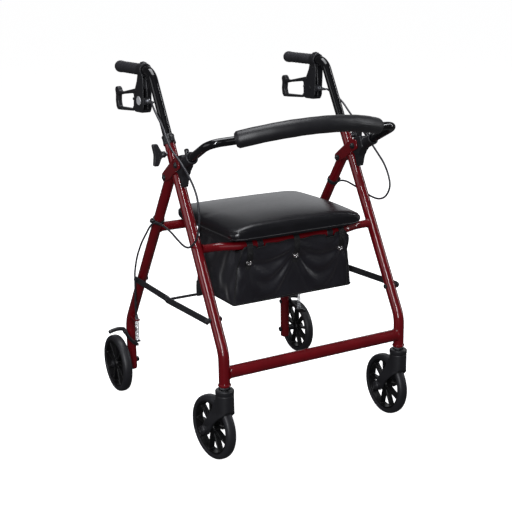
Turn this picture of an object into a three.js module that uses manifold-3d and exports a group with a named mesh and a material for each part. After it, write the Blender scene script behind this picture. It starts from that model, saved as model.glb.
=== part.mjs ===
// Folding rollator walker: two side frames, folding rear legs, swivel casters, flip-up seat, backrest hoop,
// height-adjustable handles with loop brakes. Millimetres, +Z up, -Y to the front (casters and backrest).
// The origin is on the floor, under the middle of the whole walker.
import * as THREE from "three";
import * as BufferGeometryUtils from "three/addons/utils/BufferGeometryUtils.js";
import Module from "manifold-3d";

const wasm = await Module();
wasm.setup();

// ---- driving dimensions ----
const GAP = 0.3; // clearance between touching pieces
const SIDE_X = 240; // centre plane of each side frame
const FRONT_LEG = { radius: 12.7, wall: 1.3, stemY: -285.4, footZ: 190, bendZ: 265, topZ: 700, lean: 0.557 };
const REAR_LEG = { radius: 12.2, wall: 1.4, axleY: 250.6, footZ: 50, bendZ: 188, lean: 0.672 };
const BEND_RADIUS = 75; // of both legs
const FOLD_PIVOT_Z = 622; // the rear leg turns in the fold bracket here
const HOOP_PIVOT = { y: -106, z: 660 }; // the backrest sockets turn here
const PLATE = 2.5; // fold bracket plate thickness
const PLATE_RADIUS = 15; // round ends of the fold bracket plates
const PIN_RADIUS = 4;
const BOLT_RADIUS = 3.5;
const PIN_SIDES = 6;
const HOLE_SIDES = 8;

const CROSSBAR = { radius: 14.3, wall: 1.4, z: 220.5 };
const SEAT_BAR = { radius: 9.5, wall: 1.5, z: 476, frontY: -191.4 };
const REAR_CROSSBAR = { radius: 11.1, wall: 1.4, z: 483.4 };

const BRACE = { thickness: 3, half: 7.5, boss: 9, frontZ: 334, rearZ: 328, middleY: -36.4, middleZ: 327 };
const REAR_BRACE_X = 254.4; // inner face of the rear brace bars
const FRONT_BRACE_X = 258.2; // inner face of the front brace bars
const ROD_RADIUS = 3;

const WHEEL = { radius: 76.2, width: 24, tyreInner: 63, rimInner: 57, hub: 13, spokes: 9, sides: 24 };
const REAR_WHEEL_X = 281;
const CASTER_TRAIL = 46.8; // axle behind the stem
const CASTER_TURN = { left: -7, right: 1 }; // degrees about +Z, as the casters stand
const FORK = { head: 21, top: 183, bottom: 133, armHalf: 20.5, wheelRoom: 80, slotHalf: 13.6 };
const STEM_RADIUS = 5.5;

const HANDLE = { radius: 11.1, wall: 1.4, gripZ: 857, bendRadius: 42, endY: 230, lowZ: 540, flare: 2.5 };
const COLLAR = { radius: 14.8, lowZ: 696, highZ: 717 };
const KNOB = { z: 678, halfSpan: 25.5, thickness: 9, outX: 290 };
const GRIP = { radius: 13.6, startY: 99, endY: 232 };
const HOUSING = { half: 12, slotHalf: 6.5, ring: 16, ringStartY: 74, ringEndY: 98 };
const LEVER = { half: 6, pivotY: 98, pivotZ: 786 };

const BRAKE_PIVOT = { y: 250.6, z: 160 };
const SHOE = { y: 268, z: 161, radius: 5, endX: 296 };
const SPRING = { x: 248, y: 186, radius: 4.8, lowZ: 153.6, highZ: 208 };
const TAB_Z = 210; // cable stop welded to each rear leg

const HOOP = { radius: 9.5, wall: 1.5, halfWidth: 243, bowRadius: 340, bowDepth: 222.1, slope: 25.7, drop: 4 };
const PAD_RADIUS = 19;
const PAD_HALF = 185;

const SEAT = { halfWidth: 180, frontY: -226, rearY: 80, bottomZ: 495, topZ: 531, corner: 28, boardInset: 8 };
const HINGE_X = 95;
const BAG = { topHalf: 150, bottomHalf: 164, frontY: -192, rearY: 2, bottomZ: 333.5, topZ: 462, wall: 3 };
const CABLE_RADIUS = 2.4;

const frontLegY = (z) => FRONT_LEG.stemY + FRONT_LEG.lean * Math.max(0, z - FRONT_LEG.bendZ);
const rearLegY = (z) => REAR_LEG.axleY - REAR_LEG.lean * Math.max(0, z - REAR_LEG.bendZ);
const foldPivot = { y: rearLegY(FOLD_PIVOT_Z), z: FOLD_PIVOT_Z };
const frontLean = Math.atan(FRONT_LEG.lean);
const rearLean = Math.atan(REAR_LEG.lean);
const degrees = THREE.MathUtils.degToRad;

// ---- materials ----
const paint = (color, roughness, metalness) => ({ color, roughness, metalness });
const MATERIALS = {
  frame: paint(0x4a0610, 0.25, 0.35),
  blackTube: paint(0x08080a, 0.18, 0.3),
  blackSteel: paint(0x2c2c2f, 0.5, 0.5),
  plastic: paint(0x141416, 0.55, 0),
  rim: paint(0x0a0a0b, 0.45, 0),
  tyre: paint(0x2a2a2d, 0.7, 0),
  grip: paint(0x101012, 0.75, 0),
  vinyl: paint(0x111113, 0.42, 0),
  foam: paint(0x1a1a1c, 0.8, 0),
  fabric: paint(0x101013, 0.7, 0),
  zinc: paint(0xb9bcc2, 0.35, 1),
};

// ---- helpers ----
const walker = new THREE.Group();
const material = (name) => new THREE.MeshStandardMaterial(MATERIALS[name]);

function add(name, geometry, materialName, parent = walker) {
  const mesh = new THREE.Mesh(geometry, material(materialName));
  mesh.name = name;
  parent.add(mesh);
  return mesh;
}

function solid(geometry) {
  const bare = geometry.clone();
  for (const attribute of ["normal", "uv"]) bare.deleteAttribute(attribute);
  const merged = BufferGeometryUtils.mergeVertices(bare, 1e-4);
  const vertProperties = new Float32Array(merged.attributes.position.array);
  const triVerts = new Uint32Array(merged.index.array);
  return new wasm.Manifold(new wasm.Mesh({ numProp: 3, vertProperties, triVerts }));
}

function fromSolid(body) {
  const mesh = body.getMesh();
  const geometry = new THREE.BufferGeometry();
  geometry.setAttribute("position", new THREE.BufferAttribute(new Float32Array(mesh.vertProperties), 3));
  geometry.setIndex(new THREE.BufferAttribute(new Uint32Array(mesh.triVerts), 1));
  geometry.computeVertexNormals();
  return geometry;
}

const union = (list) => list.reduce((sum, next) => sum.add(next));
const cut = (body, list) => list.reduce((rest, next) => rest.subtract(next), body);

// A route given by its points: one section of the tube at each point.
class Route extends THREE.Curve {
  constructor(points) {
    super();
    this.points = points;
  }
  getPoint(t) {
    const last = this.points.length - 1;
    const at = Math.min(last - 1, Math.floor(t * last + 1e-9));
    return this.points[at].clone().lerp(this.points[at + 1], t * last - at);
  }
  getPointAt(u) {
    return this.getPoint(u);
  }
  getSpacedPoints(divisions) {
    return this.getPoints(divisions);
  }
  getTangentAt(u) {
    const last = this.points.length - 1;
    const at = Math.round(u * last);
    const before = this.points[Math.max(0, at - 1)];
    const after = this.points[Math.min(last, at + 1)];
    const here = this.points[at];
    const into = here.clone().sub(before).normalize();
    const out = after.clone().sub(here).normalize();
    return into.add(out).normalize();
  }
}

// Corners joined by straight lines, each inner corner rounded to a radius.
function roundedRoute(corners, radius, steps = 4) {
  const points = [corners[0]];
  for (let i = 1; i < corners.length - 1; i += 1) {
    const back = corners[i - 1].clone().sub(corners[i]).normalize();
    const ahead = corners[i + 1].clone().sub(corners[i]).normalize();
    const half = back.angleTo(ahead) / 2;
    const reach = radius / Math.tan(half);
    const centre = back.clone().add(ahead).normalize().multiplyScalar(radius / Math.sin(half)).add(corners[i]);
    const start = back.clone().multiplyScalar(reach).add(corners[i]).sub(centre);
    const end = ahead.clone().multiplyScalar(reach).add(corners[i]).sub(centre);
    const turn = start.angleTo(end);
    for (let k = 0; k <= steps; k += 1) {
      const share = k / steps;
      const a = Math.sin((1 - share) * turn) / Math.sin(turn);
      const b = Math.sin(share * turn) / Math.sin(turn);
      points.push(start.clone().multiplyScalar(a).addScaledVector(end, b).add(centre));
    }
  }
  points.push(corners[corners.length - 1]);
  return points;
}

function circle(radius, sides) {
  const corners = [];
  for (let i = 0; i < sides; i += 1) {
    const angle = (i / sides) * 2 * Math.PI;
    corners.push(new THREE.Vector2(radius * Math.cos(angle), radius * Math.sin(angle)));
  }
  return corners;
}

// A tube along a route. A plain bore has half as many sides as the outside.
function tube(points, radius, wall = 0, sides = 12, boreSides = sides / 2) {
  const section = new THREE.Shape(circle(radius, sides));
  if (wall) section.holes.push(new THREE.Path(circle(radius - wall, boreSides)));
  const options = { steps: points.length - 1, bevelEnabled: false };
  return new THREE.ExtrudeGeometry(section, { ...options, extrudePath: new Route(points) });
}

const vec = (x, y, z) => new THREE.Vector3(x, y, z);

// A cylinder between two points.
function rod(from, to, radius, sides = 8) {
  const along = to.clone().sub(from);
  const geometry = new THREE.CylinderGeometry(radius, radius, along.length(), sides);
  const turn = new THREE.Quaternion().setFromUnitVectors(vec(0, 1, 0), along.clone().normalize());
  geometry.applyQuaternion(turn);
  geometry.translate(...from.clone().add(to).multiplyScalar(0.5).toArray());
  return geometry;
}

// A cylinder along X from one X to another, at a point of the YZ plane.
const crossPin = (fromX, toX, y, z, radius, sides = PIN_SIDES) => rod(vec(fromX, y, z), vec(toX, y, z), radius, sides);

function box(x0, x1, y0, y1, z0, z1) {
  const [xa, xb] = [Math.min(x0, x1), Math.max(x0, x1)];
  const geometry = new THREE.BoxGeometry(xb - xa, y1 - y0, z1 - z0);
  geometry.translate((xa + xb) / 2, (y0 + y1) / 2, (z0 + z1) / 2);
  return geometry;
}

// An outline in the YZ plane, extruded along X.
function plate(shape, fromX, toX, sides = 3) {
  const depth = Math.abs(toX - fromX);
  const geometry = new THREE.ExtrudeGeometry(shape, { depth, curveSegments: sides, bevelEnabled: false });
  geometry.applyMatrix4(new THREE.Matrix4().makeBasis(vec(0, 1, 0), vec(0, 0, 1), vec(1, 0, 0)));
  geometry.translate(Math.min(fromX, toX), 0, 0);
  return geometry;
}

// A bar outline with two round ends.
function linkShape(a, b, radiusA, radiusB) {
  const direction = Math.atan2(b.z - a.z, b.y - a.y);
  const shape = new THREE.Shape();
  shape.absarc(a.y, a.z, radiusA, direction + Math.PI / 2, direction - Math.PI / 2);
  shape.absarc(b.y, b.z, radiusB, direction - Math.PI / 2, direction + Math.PI / 2);
  shape.closePath();
  return shape;
}

// A closed outline, counter-clockwise whichever way round its points are given.
function outline(points) {
  const corners = points.map(([a, b]) => new THREE.Vector2(a, b));
  return new THREE.Shape(THREE.ShapeUtils.isClockWise(corners) ? corners.reverse() : corners);
}

// Turns a profile of [radius, height] pairs about an axis along X, Y or Z.
function turned(profile, segments, axis) {
  const geometry = new THREE.LatheGeometry(profile.map(([r, h]) => new THREE.Vector2(r, h)), segments);
  if (axis === "x") geometry.rotateZ(-Math.PI / 2);
  if (axis === "z") geometry.rotateX(Math.PI / 2);
  return geometry;
}

// ---- front frame ----
function frontLeg(side) {
  const x = side * SIDE_X;
  const corners = [
    vec(x, FRONT_LEG.stemY, FRONT_LEG.footZ),
    vec(x, FRONT_LEG.stemY, FRONT_LEG.bendZ),
    vec(x, frontLegY(FRONT_LEG.topZ), FRONT_LEG.topZ),
  ];
  const leg = solid(tube(roundedRoute(corners, BEND_RADIUS, 3), FRONT_LEG.radius, FRONT_LEG.wall, 12, 12));
  const y = frontLegY(BRACE.frontZ);
  const out = (distance) => side * (SIDE_X + distance);
  const spacer = solid(crossPin(out(12), side * (FRONT_BRACE_X - GAP), y, BRACE.frontZ, 6));
  const bolt = solid(crossPin(out(12), side * (FRONT_BRACE_X + 5), y, BRACE.frontZ, BOLT_RADIUS));
  const headX = FRONT_BRACE_X + BRACE.thickness + GAP;
  const head = solid(crossPin(side * headX, side * (headX + 3.5), y, BRACE.frontZ, 6.5));
  const nut = solid(crossPin(out(-12), out(-18), y, BRACE.frontZ, 6.2));
  return fromSolid(union([leg, spacer, bolt, head, nut]));
}

// A cross tube whose ends are cut to the legs it is welded to.
function crossTube(points, radius, wall, legCut) {
  return fromSolid(cut(solid(tube(points, radius, wall)), legCut));
}

function frontLegRoom(lowZ, highZ) {
  const radius = FRONT_LEG.radius + GAP;
  return [-SIDE_X, SIDE_X].map((x) => {
    const low = vec(x, frontLegY(lowZ), lowZ);
    const high = vec(x, frontLegY(highZ), highZ);
    return solid(rod(low, high, radius, 12));
  });
}

function lowerCrossbar() {
  const end = SIDE_X - 6;
  const at = (x) => vec(x, FRONT_LEG.stemY, CROSSBAR.z);
  return crossTube([at(-end), at(end)], CROSSBAR.radius, CROSSBAR.wall, frontLegRoom(170, 262));
}

function seatBar() {
  const legY = frontLegY(SEAT_BAR.z);
  const corners = [
    [-SIDE_X + 4, legY],
    [-188, legY - 3],
    [-138, SEAT_BAR.frontY],
    [138, SEAT_BAR.frontY],
    [188, legY - 3],
    [SIDE_X - 4, legY],
  ].map(([x, y]) => vec(x, y, SEAT_BAR.z));
  return crossTube(roundedRoute(corners, 60, 1), SEAT_BAR.radius, SEAT_BAR.wall, frontLegRoom(420, 540));
}

function foldBracket(side) {
  const shape = () => linkShape(HOOP_PIVOT, foldPivot, PLATE_RADIUS, PLATE_RADIUS);
  const inner = FRONT_LEG.radius + GAP;
  const outer = inner + PLATE;
  const x = (offset) => side * SIDE_X + offset;
  const plates = [
    solid(plate(shape(), x(inner), x(outer))),
    solid(plate(shape(), x(-outer), x(-inner))),
  ];
  const pins = [HOOP_PIVOT, foldPivot].map((p) => solid(crossPin(x(-outer - 4), x(outer + 4), p.y, p.z, PIN_RADIUS)));
  const heads = [HOOP_PIVOT, foldPivot].flatMap((p) => [
    solid(crossPin(x(outer), x(outer + 3.5), p.y, p.z, 6.5)),
    solid(crossPin(x(-outer - 4), x(-outer), p.y, p.z, 6.2)),
  ]);
  const webY = foldPivot.y - 12;
  const web = solid(box(x(-outer), x(outer), webY - 5, webY + 4, FOLD_PIVOT_Z + 19, FOLD_PIVOT_Z + 23));
  return fromSolid(union([...plates, ...pins, ...heads, web]));
}

// Places a piece that was turned about Z on the axis of the upper front leg, at a height.
function onLegAxis(geometry, side, z) {
  geometry.rotateX(-frontLean);
  geometry.translate(side * SIDE_X, frontLegY(z), z);
  return geometry;
}

function heightCollar(side) {
  const length = (COLLAR.highZ - COLLAR.lowZ) / Math.cos(frontLean);
  const step = (FRONT_LEG.topZ - COLLAR.lowZ) / Math.cos(frontLean) + GAP;
  const wide = FRONT_LEG.radius + GAP * 2;
  const tight = HANDLE.radius + GAP * 2;
  const profile = [
    [wide, 0],
    [COLLAR.radius - 0.6, 0],
    [COLLAR.radius, 2],
    [COLLAR.radius, length - 2],
    [COLLAR.radius - 1, length],
    [tight, length],
    [tight, step],
    [wide, step],
    [wide, 0],
  ];
  return onLegAxis(turned(profile, 12, "z"), side, COLLAR.lowZ);
}

function casterStem(side) {
  const profile = [
    [0, 154],
    [STEM_RADIUS, 154],
    [STEM_RADIUS, FORK.top + 0.6],
    [9, FORK.top + 0.6],
    [9, FRONT_LEG.footZ - GAP],
    [10.4, FRONT_LEG.footZ - GAP],
    [10.4, FRONT_LEG.footZ + 20],
    [0, FRONT_LEG.footZ + 20],
  ];
  const geometry = turned(profile, 8, "z");
  geometry.translate(side * SIDE_X, FRONT_LEG.stemY, 0);
  return geometry;
}

// ---- rear frame ----
function rearLeg(side) {
  const x = side * SIDE_X;
  const topZ = FOLD_PIVOT_Z + 9;
  const corners = [
    vec(x, REAR_LEG.axleY, REAR_LEG.footZ),
    vec(x, REAR_LEG.axleY, REAR_LEG.bendZ),
    vec(x, rearLegY(topZ), topZ),
  ];
  const leg = solid(tube(roundedRoute(corners, BEND_RADIUS, 3), REAR_LEG.radius, REAR_LEG.wall));
  const out = (distance) => side * (SIDE_X + distance);
  const braceY = rearLegY(BRACE.rearZ);
  const headX = REAR_BRACE_X + BRACE.thickness + GAP;
  const parts = [
    solid(crossPin(out(11.6), side * (REAR_BRACE_X - GAP), braceY, BRACE.rearZ, 6)),
    solid(crossPin(out(11.6), side * (headX + 2), braceY, BRACE.rearZ, BOLT_RADIUS)),
    solid(crossPin(side * headX, side * (headX + 3.5), braceY, BRACE.rearZ, 6.5)),
    solid(crossPin(out(-11.6), out(-17), braceY, BRACE.rearZ, 6.2)),
    solid(crossPin(out(11.6), side * (REAR_BRACE_X - GAP), BRAKE_PIVOT.y, BRAKE_PIVOT.z, 6)),
    solid(crossPin(out(11.6), side * 261, BRAKE_PIVOT.y, BRAKE_PIVOT.z, BOLT_RADIUS)),
    solid(crossPin(side * 258.7, side * 262, BRAKE_PIVOT.y, BRAKE_PIVOT.z, 6)),
    solid(crossPin(out(-11.6), out(-17), BRAKE_PIVOT.y, BRAKE_PIVOT.z, 6.2)),
    solid(box(side * 238, side * 258, SPRING.y - 10, rearLegY(TAB_Z) - 4, TAB_Z - 1.2, TAB_Z + 1.2)),
  ];
  const holes = [
    solid(crossPin(out(-20), out(20), foldPivot.y, FOLD_PIVOT_Z, PIN_RADIUS + 2 * GAP, HOLE_SIDES)),
    solid(crossPin(out(-20), out(20), REAR_LEG.axleY, WHEEL.radius, PIN_RADIUS + 2 * GAP, HOLE_SIDES)),
    solid(rod(vec(side * SPRING.x, SPRING.y, TAB_Z - 5), vec(side * SPRING.x, SPRING.y, TAB_Z + 5), 3)),
  ];
  return fromSolid(cut(union([leg, ...parts]), holes));
}

function rearCrossbar() {
  const end = SIDE_X - 5;
  const y = rearLegY(REAR_CROSSBAR.z);
  const room = [-SIDE_X, SIDE_X].map((x) => {
    const low = vec(x, rearLegY(430), 430);
    const high = vec(x, rearLegY(540), 540);
    return solid(rod(low, high, REAR_LEG.radius + GAP, 12));
  });
  const points = [vec(-end, y, REAR_CROSSBAR.z), vec(end, y, REAR_CROSSBAR.z)];
  return crossTube(points, REAR_CROSSBAR.radius, REAR_CROSSBAR.wall, room);
}

function rearAxle(side) {
  const profile = [
    [0, 220],
    [6.8, 220],
    [6.8, SIDE_X - REAR_LEG.radius - GAP],
    [PIN_RADIUS, SIDE_X - REAR_LEG.radius - GAP],
    [PIN_RADIUS, SIDE_X + REAR_LEG.radius + GAP],
    [8, SIDE_X + REAR_LEG.radius + GAP],
    [8, REAR_WHEEL_X - WHEEL.width / 2 - GAP],
    [PIN_RADIUS, REAR_WHEEL_X - WHEEL.width / 2 - GAP],
    [PIN_RADIUS, REAR_WHEEL_X + WHEEL.width / 2 + GAP],
    [7.5, REAR_WHEEL_X + WHEEL.width / 2 + GAP],
    [7.5, 297],
    [0, 297],
  ];
  const geometry = turned(profile, 8, "x");
  if (side < 0) geometry.rotateZ(Math.PI);
  geometry.translate(0, REAR_LEG.axleY, WHEEL.radius);
  return geometry;
}

// ---- side braces ----
const bracePoints = {
  front: { y: frontLegY(BRACE.frontZ), z: BRACE.frontZ },
  rear: { y: rearLegY(BRACE.rearZ), z: BRACE.rearZ },
  middle: { y: BRACE.middleY, z: BRACE.middleZ },
};

function brace(side, end, fromX) {
  const shape = linkShape(end, bracePoints.middle, BRACE.half, BRACE.boss);
  const hole = (p, radius) => new THREE.Path().absarc(p.y, p.z, radius, 0, 2 * Math.PI, true);
  shape.holes.push(hole(end, BOLT_RADIUS + GAP * 1.5), hole(bracePoints.middle, ROD_RADIUS + 0.8));
  return plate(shape, side * fromX, side * (fromX + BRACE.thickness), 4);
}

const crossRod = () => {
  const end = REAR_BRACE_X + BRACE.thickness + GAP;
  return crossPin(-end, end, BRACE.middleY, BRACE.middleZ, ROD_RADIUS, 10);
};

// ---- wheels, made about an axis along X through the origin ----
function tyre() {
  const outer = WHEEL.radius / Math.cos(Math.PI / WHEEL.sides);
  const half = WHEEL.width / 2;
  const profile = [
    [WHEEL.tyreInner, -half],
    [outer - 5, -half],
    [outer, -half + 6],
    [outer, half - 6],
    [outer - 5, half],
    [WHEEL.tyreInner, half],
    [WHEEL.tyreInner, -half],
  ];
  const geometry = turned(profile, WHEEL.sides, "x");
  geometry.rotateX(Math.PI / WHEEL.sides);
  return geometry;
}

function rim() {
  const half = WHEEL.width / 2 - 2;
  const shape = new THREE.Shape(circle(WHEEL.tyreInner - GAP * 2, 2 * WHEEL.spokes));
  shape.holes.push(new THREE.Path(circle(PIN_RADIUS + GAP * 2, HOLE_SIDES).reverse()));
  const pitch = (2 * Math.PI) / WHEEL.spokes;
  const at = (radius, angle) => new THREE.Vector2(radius * Math.cos(angle), radius * Math.sin(angle));
  for (let i = 0; i < WHEEL.spokes; i += 1) {
    const middle = i * pitch;
    const inner = 0.5 * pitch - 3.4 / WHEEL.hub;
    const outer = 0.5 * pitch - 2.6 / WHEEL.rimInner;
    shape.holes.push(new THREE.Path([
      at(WHEEL.hub + 3, middle),
      at(WHEEL.hub + 6, middle - inner),
      at(WHEEL.rimInner, middle - outer),
      at(WHEEL.rimInner, middle),
      at(WHEEL.rimInner, middle + outer),
      at(WHEEL.hub + 6, middle + inner),
    ].reverse()));
  }
  return plate(shape, -half, half);
}

// ---- casters: the swivel axis is Z, the wheel trails towards +Y ----
function casterFork() {
  const head = solid(turned([[0, FORK.bottom], [FORK.head, FORK.bottom], [FORK.head, FORK.top - 2],
    [FORK.head - 2, FORK.top], [0, FORK.top]], 14, "z"));
  const arms = outline([
    [FORK.head - 1, 168],
    [FORK.head + 3, 150],
    [CASTER_TRAIL + 11, 92],
    [CASTER_TRAIL + 17, 80],
    [CASTER_TRAIL + 14, 66],
    [CASTER_TRAIL + 3, 59],
    [CASTER_TRAIL - 10, 62],
    [8, 92],
    [-8, 112],
    [-FORK.head + 1, 136],
    [-FORK.head + 1, 168],
  ]);
  const body = solid(plate(arms, -FORK.armHalf, FORK.armHalf)).add(head);
  const slot = FORK.slotHalf;
  return fromSolid(cut(body, [
    solid(crossPin(-slot, slot, CASTER_TRAIL, WHEEL.radius, FORK.wheelRoom, 28)),
    solid(crossPin(-30, 30, CASTER_TRAIL, WHEEL.radius, PIN_RADIUS + GAP * 2, HOLE_SIDES)),
    solid(rod(vec(0, 0, 152), vec(0, 0, 200), STEM_RADIUS + GAP * 2)),
  ]));
}

function casterAxle() {
  const inner = FORK.armHalf + GAP;
  const profile = [[0, -inner - 4], [7.5, -inner - 4], [7.5, -inner], [PIN_RADIUS, -inner],
    [PIN_RADIUS, inner], [7.5, inner], [7.5, inner + 4], [0, inner + 4]];
  const geometry = turned(profile, 8, "x");
  geometry.translate(0, CASTER_TRAIL, WHEEL.radius);
  return geometry;
}

// ---- handles ----
const handleBend = { y: frontLegY(HANDLE.gripZ), z: HANDLE.gripZ };

function handleTube(side) {
  const x = side * SIDE_X;
  const drift = Math.tan(degrees(HANDLE.flare)) * (HANDLE.endY - handleBend.y);
  const corners = [
    vec(x, frontLegY(HANDLE.lowZ), HANDLE.lowZ),
    vec(x, handleBend.y, HANDLE.gripZ),
    vec(x + side * drift, HANDLE.endY, HANDLE.gripZ),
  ];
  return tube(roundedRoute(corners, HANDLE.bendRadius), HANDLE.radius, HANDLE.wall);
}

// The top group is made straight along +Y at X 0 and turned out by the flare about the tube's bend.
function handleTop(side) {
  const group = new THREE.Group();
  group.position.set(side * SIDE_X, handleBend.y, 0);
  group.rotation.z = -side * degrees(HANDLE.flare);
  return group;
}
const fromBend = (y) => y - handleBend.y;

function grip() {
  const start = fromBend(GRIP.startY);
  const end = fromBend(GRIP.endY);
  const inner = HANDLE.radius + GAP * 2;
  const profile = [
    [inner, start],
    [GRIP.radius + 1, start],
    [GRIP.radius + 1, start + 5],
    [GRIP.radius - 0.5, start + 8],
    [GRIP.radius + 0.5, (start + end) / 2],
    [GRIP.radius, end - 4],
    [GRIP.radius - 3, end + 1],
    [0, end + 1],
    [0, end - 1],
    [inner, end - 1],
    [inner, start],
  ];
  const geometry = turned(profile, 12, "y");
  geometry.translate(0, 0, HANDLE.gripZ);
  return geometry;
}

function brakeHousing() {
  const side = outline([
    [75, 846], [69, 838], [70, 815], [72, 790], [73, 768], [80, 757], [120, 756], [130, 762],
    [128, 775], [126, 789], [117, 812], [105, 832], [97, 846],
  ].map(([y, z]) => [fromBend(y), z]));
  const body = solid(plate(side, -HOUSING.half, HOUSING.half));
  const at = (y, z = HANDLE.gripZ) => vec(0, fromBend(y), z);
  const ring = solid(rod(at(HOUSING.ringStartY), at(HOUSING.ringEndY), HOUSING.ring, 14));
  const bore = solid(rod(at(40), at(160), HANDLE.radius + GAP * 2, 12));
  const slotShape = outline([[77, 800], [77, 774], [99, 750], [160, 740], [160, 812], [118, 830], [104, 826]]
    .map(([y, z]) => [fromBend(y), z]));
  const slot = solid(plate(slotShape, -HOUSING.slotHalf, HOUSING.slotHalf));
  const pin = solid(crossPin(-HOUSING.half, HOUSING.half, fromBend(LEVER.pivotY), LEVER.pivotZ, 3, 10));
  return fromSolid(cut(body.add(ring), [slot]).add(pin).subtract(bore));
}

function brakeLever() {
  const loop = outline([
    [90, 790], [98, 797], [116, 803], [130, 811], [157, 806], [214, 796], [230, 798], [236, 805], [246, 806],
    [252, 799], [250, 788], [252, 772], [250, 758], [244, 749.5], [216, 751], [148, 755.5], [130, 759],
    [112, 768], [98, 776], [90, 782],
  ].map(([y, z]) => [fromBend(y), z]));
  loop.holes.push(new THREE.Path([
    [140, 799], [157, 797], [210, 789], [236, 786], [237, 771], [234, 758], [150, 761.5], [140, 766],
  ].map(([y, z]) => new THREE.Vector2(fromBend(y), z))));
  const pivot = new THREE.Path().absarc(fromBend(LEVER.pivotY), LEVER.pivotZ, 3.5, 0, 2 * Math.PI, true);
  loop.holes.push(pivot);
  return plate(loop, -LEVER.half, LEVER.half);
}

function heightKnob(side) {
  const wing = outline([
    [262, -6], [270, -9], [278, -KNOB.halfSpan], [KNOB.outX, -KNOB.halfSpan + 2],
    [KNOB.outX - 3, KNOB.halfSpan], [278, KNOB.halfSpan], [270, 9], [262, 6],
  ]);
  const half = KNOB.thickness / 2;
  const blade = new THREE.ExtrudeGeometry(wing, { depth: KNOB.thickness, bevelEnabled: false });
  blade.translate(0, 0, -half);
  blade.rotateX(Math.PI / 2);
  const start = SIDE_X + FRONT_LEG.radius + GAP;
  const knob = fromSolid(solid(blade).add(solid(crossPin(start, 264, 0, 0, 5.5, 12))));
  if (side < 0) knob.rotateZ(Math.PI);
  knob.translate(0, frontLegY(KNOB.z), KNOB.z);
  return knob;
}

// ---- brake at the rear wheel ----
function brakeArm(side) {
  const at = (y, z) => ({ y, z });
  const x0 = REAR_BRACE_X;
  const x1 = x0 + 4;
  const bar = (a, b, radiusA, radiusB) => solid(plate(linkShape(a, b, radiusA, radiusB), side * x0, side * x1));
  const body = union([
    bar(at(172, 152), at(BRAKE_PIVOT.y, BRAKE_PIVOT.z), 5, 8),
    bar(at(BRAKE_PIVOT.y, BRAKE_PIVOT.z), at(SHOE.y, SHOE.z), 8, SHOE.radius),
    solid(crossPin(side * x0, side * SHOE.endX, SHOE.y, SHOE.z, SHOE.radius)),
    solid(box(side * 242, side * x1, SPRING.y - 6, SPRING.y + 6, 150.2, 153.2)),
  ]);
  const pin = crossPin(side * 250, side * 262, BRAKE_PIVOT.y, BRAKE_PIVOT.z, BOLT_RADIUS + GAP * 1.5, HOLE_SIDES);
  return fromSolid(cut(body, [solid(pin)]));
}

const brakeSpring = (side) =>
  rod(vec(side * SPRING.x, SPRING.y, SPRING.lowZ), vec(side * SPRING.x, SPRING.y, SPRING.highZ), SPRING.radius, 10);

// Brake cables, from the handle housing past the front leg, in a loop, and down the rear leg to its stop.
const CABLE_ROUTE = {
  left: [[243, 40, 786], [250, 24, 783], [255.5, -10, 764], [256, -45, 737], [260, -72, 716], [262, -103, 693],
    [262, -146, 672], [262, -188, 645], [261, -217, 612], [261, -227, 575], [260.5, -223, 540], [260, -205, 508],
    [259, -172, 486], [258, -140, 481], [257, -104, 488], [256, -66, 498], [257, -25, 505], [258, 14, 505],
    [258.5, 44, 491], [259, 72, 466], [260, 104, 433], [262, 130, 393], [264, 143, 353], [264, 145.5, 328],
    [262, 153, 296], [257, 168, 262], [252, 180, 238], [248.5, 185.5, 222], [248, 186, 212]],
  right: [[243, 40, 786], [250, 20, 777], [255.5, -14, 757], [256, -44, 735], [260, -80, 706], [262, -118, 676],
    [262, -155, 648], [262, -186, 622], [261, -207, 592], [261, -210, 568], [260.5, -195, 545], [260, -169, 534],
    [259, -138, 535], [258, -104, 543], [257, -66, 551], [257, -30, 556], [258, 4, 550], [258.5, 30, 528],
    [258.5, 54, 500], [259, 80, 466], [260, 106, 433], [262, 131, 393], [264, 143, 353], [264, 145.5, 328],
    [262, 153, 296], [257, 168, 262], [252, 180, 238], [248.5, 185.5, 222], [248, 186, 212]],
};

function brakeCable(side, name) {
  const points = CABLE_ROUTE[name].map(([x, y, z]) => vec(side * x, y, z));
  const curve = new THREE.CatmullRomCurve3(points);
  return tube(curve.getSpacedPoints(40), CABLE_RADIUS, 0, 6);
}

// ---- backrest: a hoop in a plane that rises to the front from the socket pivots ----
const rise = degrees(HOOP.slope);
function onHoop(x, reach, height = 0) {
  const up = height - HOOP.drop;
  const y = HOOP_PIVOT.y - reach * Math.cos(rise) + up * Math.sin(rise);
  const z = HOOP_PIVOT.z + reach * Math.sin(rise) + up * Math.cos(rise);
  return vec(x, y, z);
}
const bowReach = (x) => HOOP.bowDepth - HOOP.bowRadius + Math.sqrt(HOOP.bowRadius ** 2 - x ** 2);

function bowPoints(halfWidth, count) {
  const points = [];
  for (let i = 0; i <= count; i += 1) {
    const x = -halfWidth + (2 * halfWidth * i) / count;
    points.push(onHoop(x, bowReach(x)));
  }
  return points;
}

function backrestTube() {
  const bow = bowPoints(PAD_HALF, 6);
  const cornerPart = (side) => {
    const corners = [onHoop(side * HOOP.halfWidth, 36), onHoop(side * (HOOP.halfWidth + 2), 158),
      side < 0 ? bow[0] : bow[bow.length - 1]];
    return roundedRoute(corners, 32, 3).slice(0, -1);
  };
  const points = [...cornerPart(-1), ...bow, ...cornerPart(1).reverse()];
  return tube(points, HOOP.radius, HOOP.wall);
}

const backrestPad = () => tube(bowPoints(PAD_HALF, 6), PAD_RADIUS, PAD_RADIUS - HOOP.radius - 1, 12, 12);

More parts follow.
